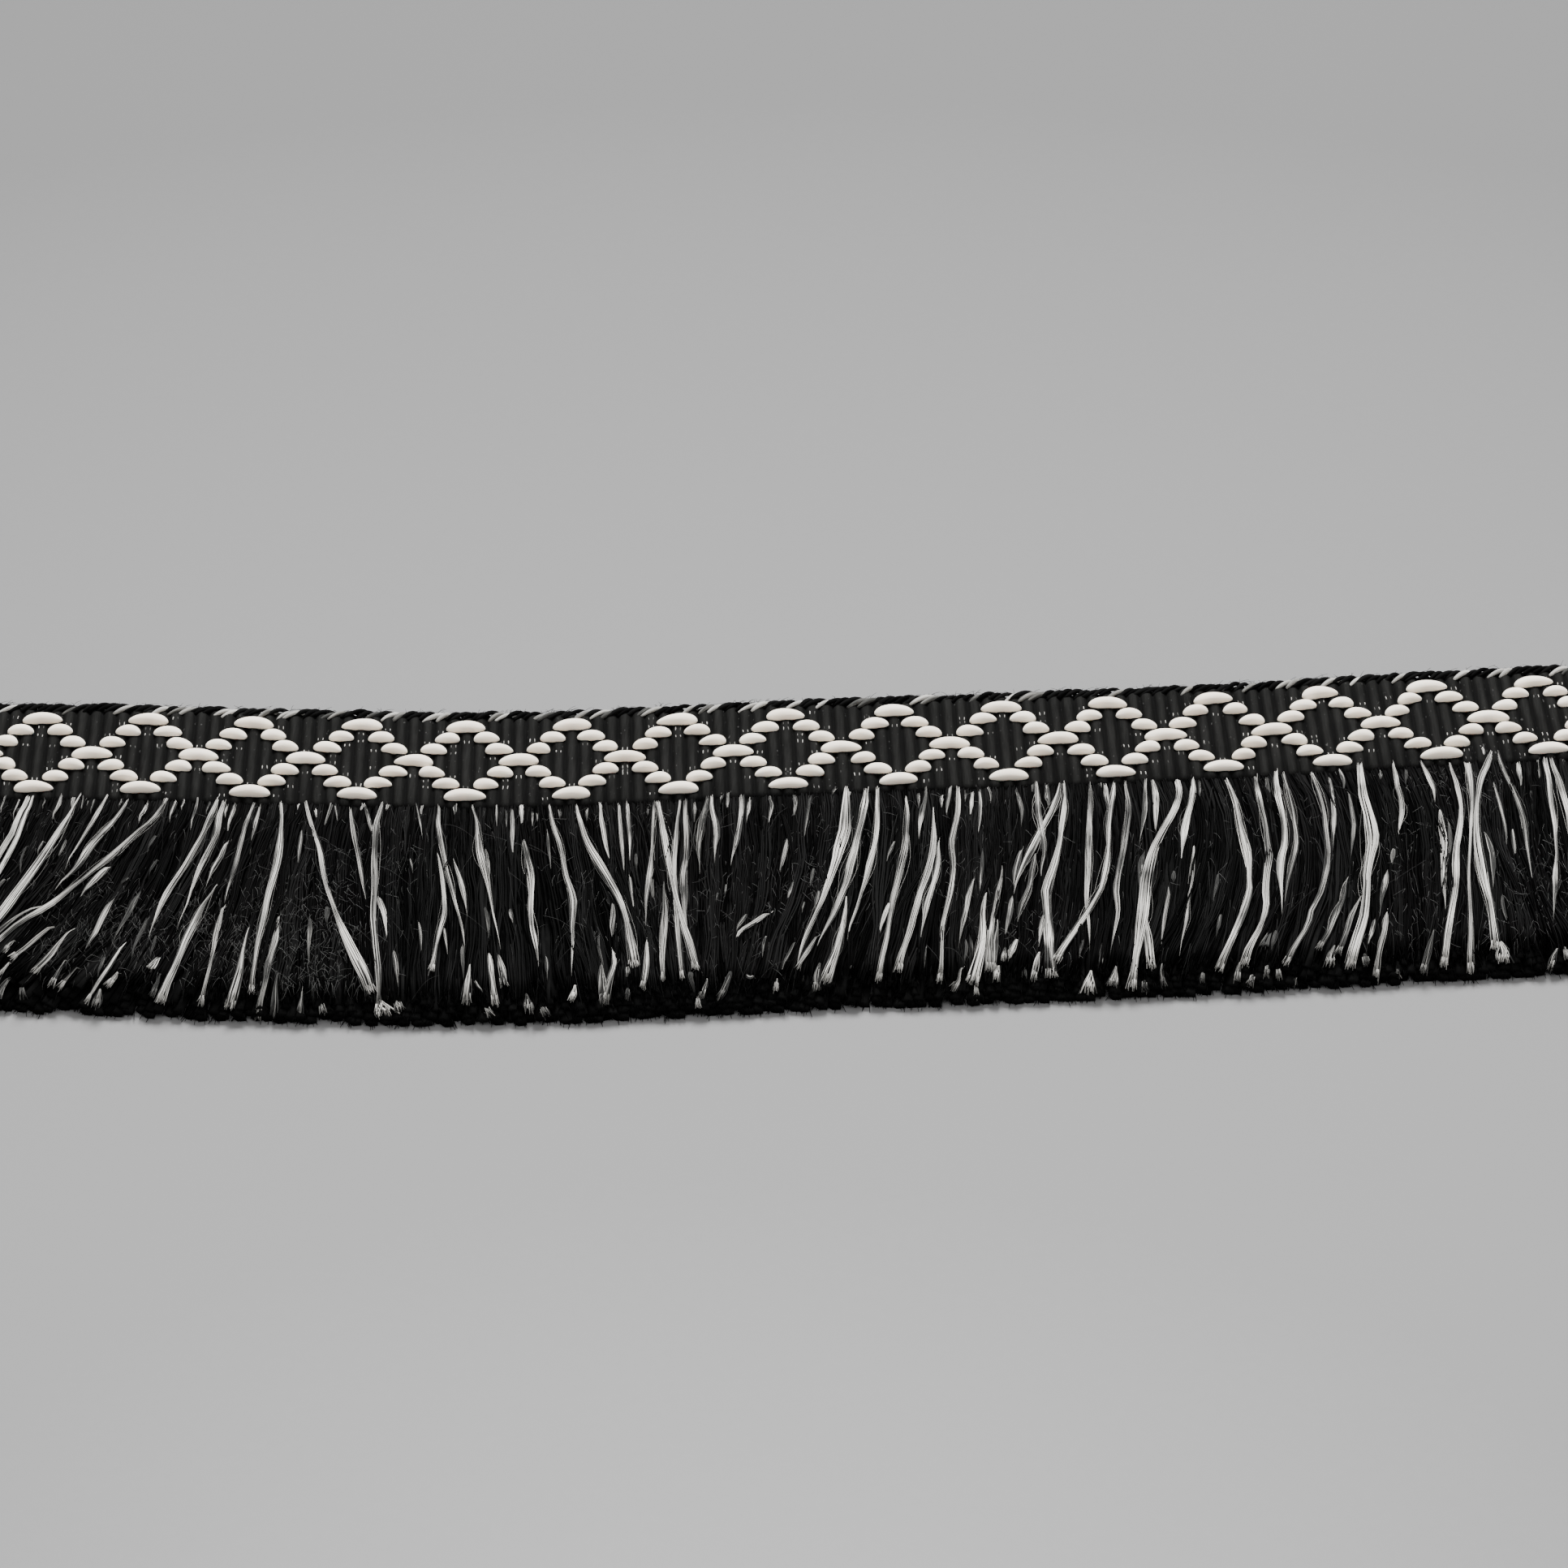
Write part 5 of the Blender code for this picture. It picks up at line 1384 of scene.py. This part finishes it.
def pale_ribbons(name, locks, stations, filaments, material, rng):
    """Listed pale yarns: flat floss with edges darkened by painted shade, needle points and cut ends."""
    count = len(locks)
    each = (count, filaments, 1)
    lines, halves, runs = (np.array(part) for part in zip(*(lock_lines(lock, stations) for lock in locks)))
    halves = halves * np.clip(1 + wander(rng, runs, 3 * MM, 0.06), 0.85, 1.15)
    lines[..., 2] += 0.04 * MM * np.sin(runs / (7 * MM) * 2 * np.pi + rng.uniform(0, 6.3, (count, 1)))
    tones = np.array([TONE_SCALE * lock.tone - TONE_DROP for lock in locks])
    path, wide, tall = floss(
        lines, halves, 0.11 * MM, filaments, rng, 0.28 * MM, 0.16, (1.1, 2.0), 0.028 * MM
    )
    is_fan = np.array([lock.end == "fan" for lock in locks])[:, None]
    loose = 1 - 0.45 * is_fan * smoothstep(runs[:, -1:] - 3 * MM, runs[:, -1:], runs)
    wide = wide * np.repeat(loose, filaments, axis=0)
    place = np.linspace(-1, 1, filaments)[None, :, None]
    # Painted shade: filaments toward a ribbon's edges get darker shades, as on a domed ribbon's sides.
    shade = tones[:, None, None] - 0.03 - 0.42 * np.abs(place) ** 2.5
    shade = shade + rng.normal(0.0, 0.26, each) + wander(rng, runs, 2.5 * MM, 0.22)[:, None, :]
    shade = shade - 0.5 * (rng.random(each) < 0.10)
    make_tubes(name, path, wide, tall, 3, material, shade.reshape(count * filaments, stations))
    return [rows[:3] for rows in zip(lines, halves, tones, locks) if rows[3].end == "fan"]


def pale_strays(locks, material, rng):
    """Single pale filaments that stand off the long yarns' edges."""
    stations, each = 12, 4
    rows = [lock_lines(lock, stations) for lock in locks for _ in range(each)]
    count = (len(rows), 1)
    t = np.linspace(0, 1, stations)
    first = rng.uniform(0.0, 0.6, count)
    part = first + rng.uniform(0.2, 0.4, count) * t
    lines = np.array([
        np.stack([np.interp(p, t, line[:, axis]) for axis in range(3)], axis=1)
        for p, (line, _, _) in zip(part, rows)
    ])
    halves = np.array([np.interp(p, t, half) for p, (_, half, _) in zip(part, rows)])
    way = rng.choice([-1.0, 1.0], count)
    stand = way * (0.8 + rng.uniform(0.3, 1.6, count) * np.sin(np.pi * t))
    lines = lines + side_of(lines) * (halves * stand)[..., None]
    shade = rng.uniform(-0.2, 0.4, len(rows))
    make_hairs("pale_strays", lines, 0.012 * MM, material, shade)


def pale_locks(material, rng):
    """The listed pale yarns, long ones finer than short bits."""
    long_ones = [lock for lock in LOCKS if len(lock.path) >= LONG_PATH]
    bits = [lock for lock in LOCKS if len(lock.path) < LONG_PATH]
    fans = pale_ribbons("pale_locks", long_ones, 22, 12, material, rng)
    fans += pale_ribbons("pale_bits", bits, 10, 9, material, rng)
    pale_strays(long_ones, material, rng)
    return fans


def pale_chance(material, rng):
    """Short chance bits of pale yarn: root dashes, glimpses and low tips."""
    stations, filaments = 10, 4
    t = np.linspace(0, 1, stations)
    shapes = {
        "root": (0.08 + 0.92 * (1 - t ** 2.5), t ** 4),
        "mid": (np.sin(np.pi * np.clip(0.04 + 0.93 * t, 0, 1)) ** 0.8, np.abs(2 * t - 1) ** 3),
        "tip": (0.15 + 1.1 * t, (1 - t) ** 3),
    }
    bits = []

    def add(root, start, length, width, depth, tone, kind):
        shape, sink = shapes[kind]
        away = np.linspace(start, start + length, stations)
        along = root + sweep_at(np.full(stations, root), away, rng.normal(0.9, 0.15))
        along = along + rng.normal(0, 0.035) * length * np.sin(t * np.pi)
        height = surface_height(away) + 0.06 * MM - depth * MM - 0.6 * MM * sink
        line = fringe_place(along, away, np.maximum(height, 0.15 * MM))
        bits.append((line, width * MM / 2 * shape, tone, kind))

    def share_at(place, in_view):
        """The share of pale yarns there, and less of it where each one is listed one by one."""
        share = float(smooth_through(PALE_SHARES, "share", place))
        return share, 1.0 if abs(place) > SEEN else in_view

    place = -LENGTH / 2 + 0.6 * MM
    while place < LENGTH / 2 - 0.6 * MM:
        share, _ = share_at(place, 1.0)
        if abs(place) > SEEN or rng.random() < 0.08:
            long_bit = rng.random() < 0.35 * share
            length = rng.uniform(3.0, 7.0) if long_bit else rng.uniform(1.0, 2.4)
            width = rng.uniform(0.16, 0.34)
            add(place, -0.2 * MM, length * MM, width, rng.uniform(0.0, 0.2), rng.uniform(-0.25, 0.25), "root")
        place += rng.uniform(0.75, 1.7) * MM
    for _ in range(100):
        place = rng.uniform(-LENGTH / 2, LENGTH / 2)
        share, part = share_at(place, 0.10)
        if rng.random() < share * part:
            # Painted shade: these glimpses take darker tones than the root dashes, for lying deeper among the
            # black yarns.
            start = rng.uniform(3.0, 24.0) * MM
            length = min(rng.uniform(2.5, 9.0) * MM, 28 * MM - start)
            width, depth, tone = rng.uniform(0.18, 0.50), rng.uniform(0.05, 0.35), rng.uniform(-0.35, 0.15)
            add(place, start, length, width, depth, tone, "mid")
    for _ in range(40):
        place = rng.uniform(-LENGTH / 2 + 2 * MM, LENGTH / 2 - 1 * MM)
        share, part = share_at(place, 0.45)
        if rng.random() < (share + 0.15) * part:
            end = rng.uniform(26.5, 30.4) * MM
            length = rng.uniform(1.2, 4.0) * MM
            width, depth, tone = rng.uniform(0.3, 0.7), rng.uniform(0.1, 1.3), rng.uniform(-0.4, 0.1)
            add(place, end - length, length, width, depth, tone, "tip")
    lines, halves, tones = (np.array(values) for values in list(zip(*bits))[:3])
    path, wide, tall = floss(lines, halves, 0.08 * MM, filaments, rng, 0.15 * MM)
    shade = tones[:, None] + rng.normal(0.0, 0.14, (len(tones), filaments))
    make_tubes("pale_chance", path, wide, tall, 3, material, shade.ravel())
    return [bit[:3] for bit in bits if bit[3] == "tip"]


def brush_tips(brush, tips, material, rng):
    """Fine filaments that stand out of cut tips. A tip is (line, half width, shade)."""
    parts = zip(*((line[-1], line[-3], half[-1], shade) for line, half, shade in tips))
    end, before, half, shade = (np.repeat(np.array(part), brush.each, axis=0) for part in parts)
    forward = unit(end - before)
    side = np.cross(forward, np.array([0.0, 0.0, 1.0]))
    total = len(end)
    place = rng.uniform(-1, 1, (total, 1))
    start = end - forward * TIP_INSIDE + side * half[:, None] * place * 0.9
    start[:, 2] += rng.normal(0, 0.10 * MM, total)
    aim = forward + side * (place * brush.spread + rng.normal(0, brush.spread * 0.45, (total, 1)))
    aim[:, 2] += rng.normal(-0.03, 0.10, total)
    reach = TIP_INSIDE + rng.uniform(0.15, 1.0, (total, 1)) * brush.length * MM
    curl = side * rng.normal(0, 0.06 * MM, (total, 1))
    t = np.array([0.0, 0.5, 1.0])[None, :, None]
    lines = start[:, None] + (aim * reach)[:, None] * t + curl[:, None] * t * t
    radius = brush.radius * MM
    lines[..., 2] = np.maximum(lines[..., 2], radius)
    shades = shade + brush.tone + rng.uniform(-0.2, 0.15, total)
    make_hairs(brush.name, lines, radius * np.array([1.0, 0.95, 0.6]), material, shades)


def surface_hairs(hairs, material, rng):
    """Fine loose filaments lying on the fringe."""
    each = (hairs.count, 1)
    root = rng.uniform(-LENGTH / 2, LENGTH / 2, each)
    start = rng.uniform(0.0, 1.0, each) * (FRINGE_REACH - 4 * MM)
    shortest, longest = hairs.length
    span = rng.uniform(shortest * MM, longest * MM, each)
    span = np.minimum(span, FRINGE_REACH - 1 * MM - start)
    t = np.linspace(0, 1, hairs.stations)[None, :]
    away = start + span * t
    drift = rng.normal(0.0, hairs.stray, each) * span * t
    along = root + sweep_at(root, away, rng.normal(1.0, 0.2, each)) + drift
    along = along + waver(rng, hairs.count, away, 0.12 * MM, 9 * MM)
    hump = np.sin(np.pi * t) * rng.uniform(0.2, 1.0, each) * hairs.lift * MM
    height = surface_height(away) + 0.02 * MM + hump + rng.uniform(-0.12, 0.06, each) * MM
    lines = fringe_place(along, away, height)
    shade = rng.uniform(*hairs.tone, hairs.count)
    make_hairs(hairs.name, lines, hairs.radius * MM * (1 - 0.4 * t), material, shade)


def build_fuzz(material, rng):
    """Short curly hairs that lie in patches on the black yarns."""
    fuzzy = rng.random(FUZZ_PATCHES) < FUZZY_SHARE
    inside = rng.uniform(*FUZZY_ALONG, FUZZ_PATCHES)
    patch_along = np.where(fuzzy, inside, rng.uniform(-LENGTH / 2, LENGTH / 2, FUZZ_PATCHES))
    inside = rng.uniform(*FUZZY_AWAY, FUZZ_PATCHES)
    patch_away = np.where(fuzzy, inside, rng.uniform(2 * MM, 28 * MM, FUZZ_PATCHES))
    stations, count = 5, FUZZ_PATCHES * FUZZ_EACH
    each = (count, 1)
    along = np.repeat(patch_along, FUZZ_EACH)[:, None] + rng.normal(0, 2.6 * MM, each)
    away = np.abs(np.repeat(patch_away, FUZZ_EACH)[:, None] + rng.normal(0, 3.2 * MM, each))
    away = FUZZ_END - np.abs(FUZZ_END - away)
    t = np.linspace(0, 1, stations)[None, :]
    step = rng.uniform(0.6, 2.2, each) * MM / stations
    turn = rng.normal(0, 0.42, each) + rng.normal(0, 0.6, each) * t
    along = np.clip(along + np.cumsum(np.sin(turn), axis=1) * step, -LENGTH / 2, LENGTH / 2)
    away = np.clip(away + np.cumsum(np.cos(turn), axis=1) * step, 0.5 * MM, 30 * MM)
    hump = np.sin(np.pi * t) * rng.uniform(0.0, 0.25, each) * MM
    height = surface_height(away) + rng.uniform(-0.12, 0.08, each) * MM + hump
    radius = rng.uniform(0.008, 0.013, each) * MM * (1 - 0.3 * t)
    shade = rng.uniform(0.2, 1.0, count)
    make_hairs("fuzz", fringe_place(along, away, height), radius, material, shade)


def build_fringe(black, hair, pale, curls, rng):
    """All of the fringe: black layers, pale yarns, cut tips and loose hairs."""
    black_brush, pale_brush, low_brush = BRUSHES
    tips = []
    for layer in CORE_LAYERS:
        tips += core_layer(layer, black, rng, ("fringe",) if layer is CORE_LAYERS[0] else ())
    for layer in FLOSS_LAYERS:
        tips += floss_layer(layer, black, rng)
    brush_tips(black_brush, tips, black, rng)
    over_wisps(black, rng)
    fans = pale_locks(pale, rng)
    low_fans = pale_chance(pale, rng)
    brush_tips(pale_brush, fans, pale, rng)
    brush_tips(low_brush, low_fans, pale, rng)
    for hairs in HAIRS:
        surface_hairs(hairs, hair, rng)
    build_fuzz(curls, rng)


def main():
    rng = np.random.default_rng(7)
    make_camera()
    make_floor()
    make_lights()
    black, hair, pale, curls = (yarn_material(yarn) for yarn in YARNS)
    build_fringe(black, hair, pale, curls, rng)
    band = build_band()
    floats = build_floats(rng)
    build_dips(pale, rng)
    build_selvedge(black, pale, hair, rng)
    build_cut_ends(black, pale, rng)


main()
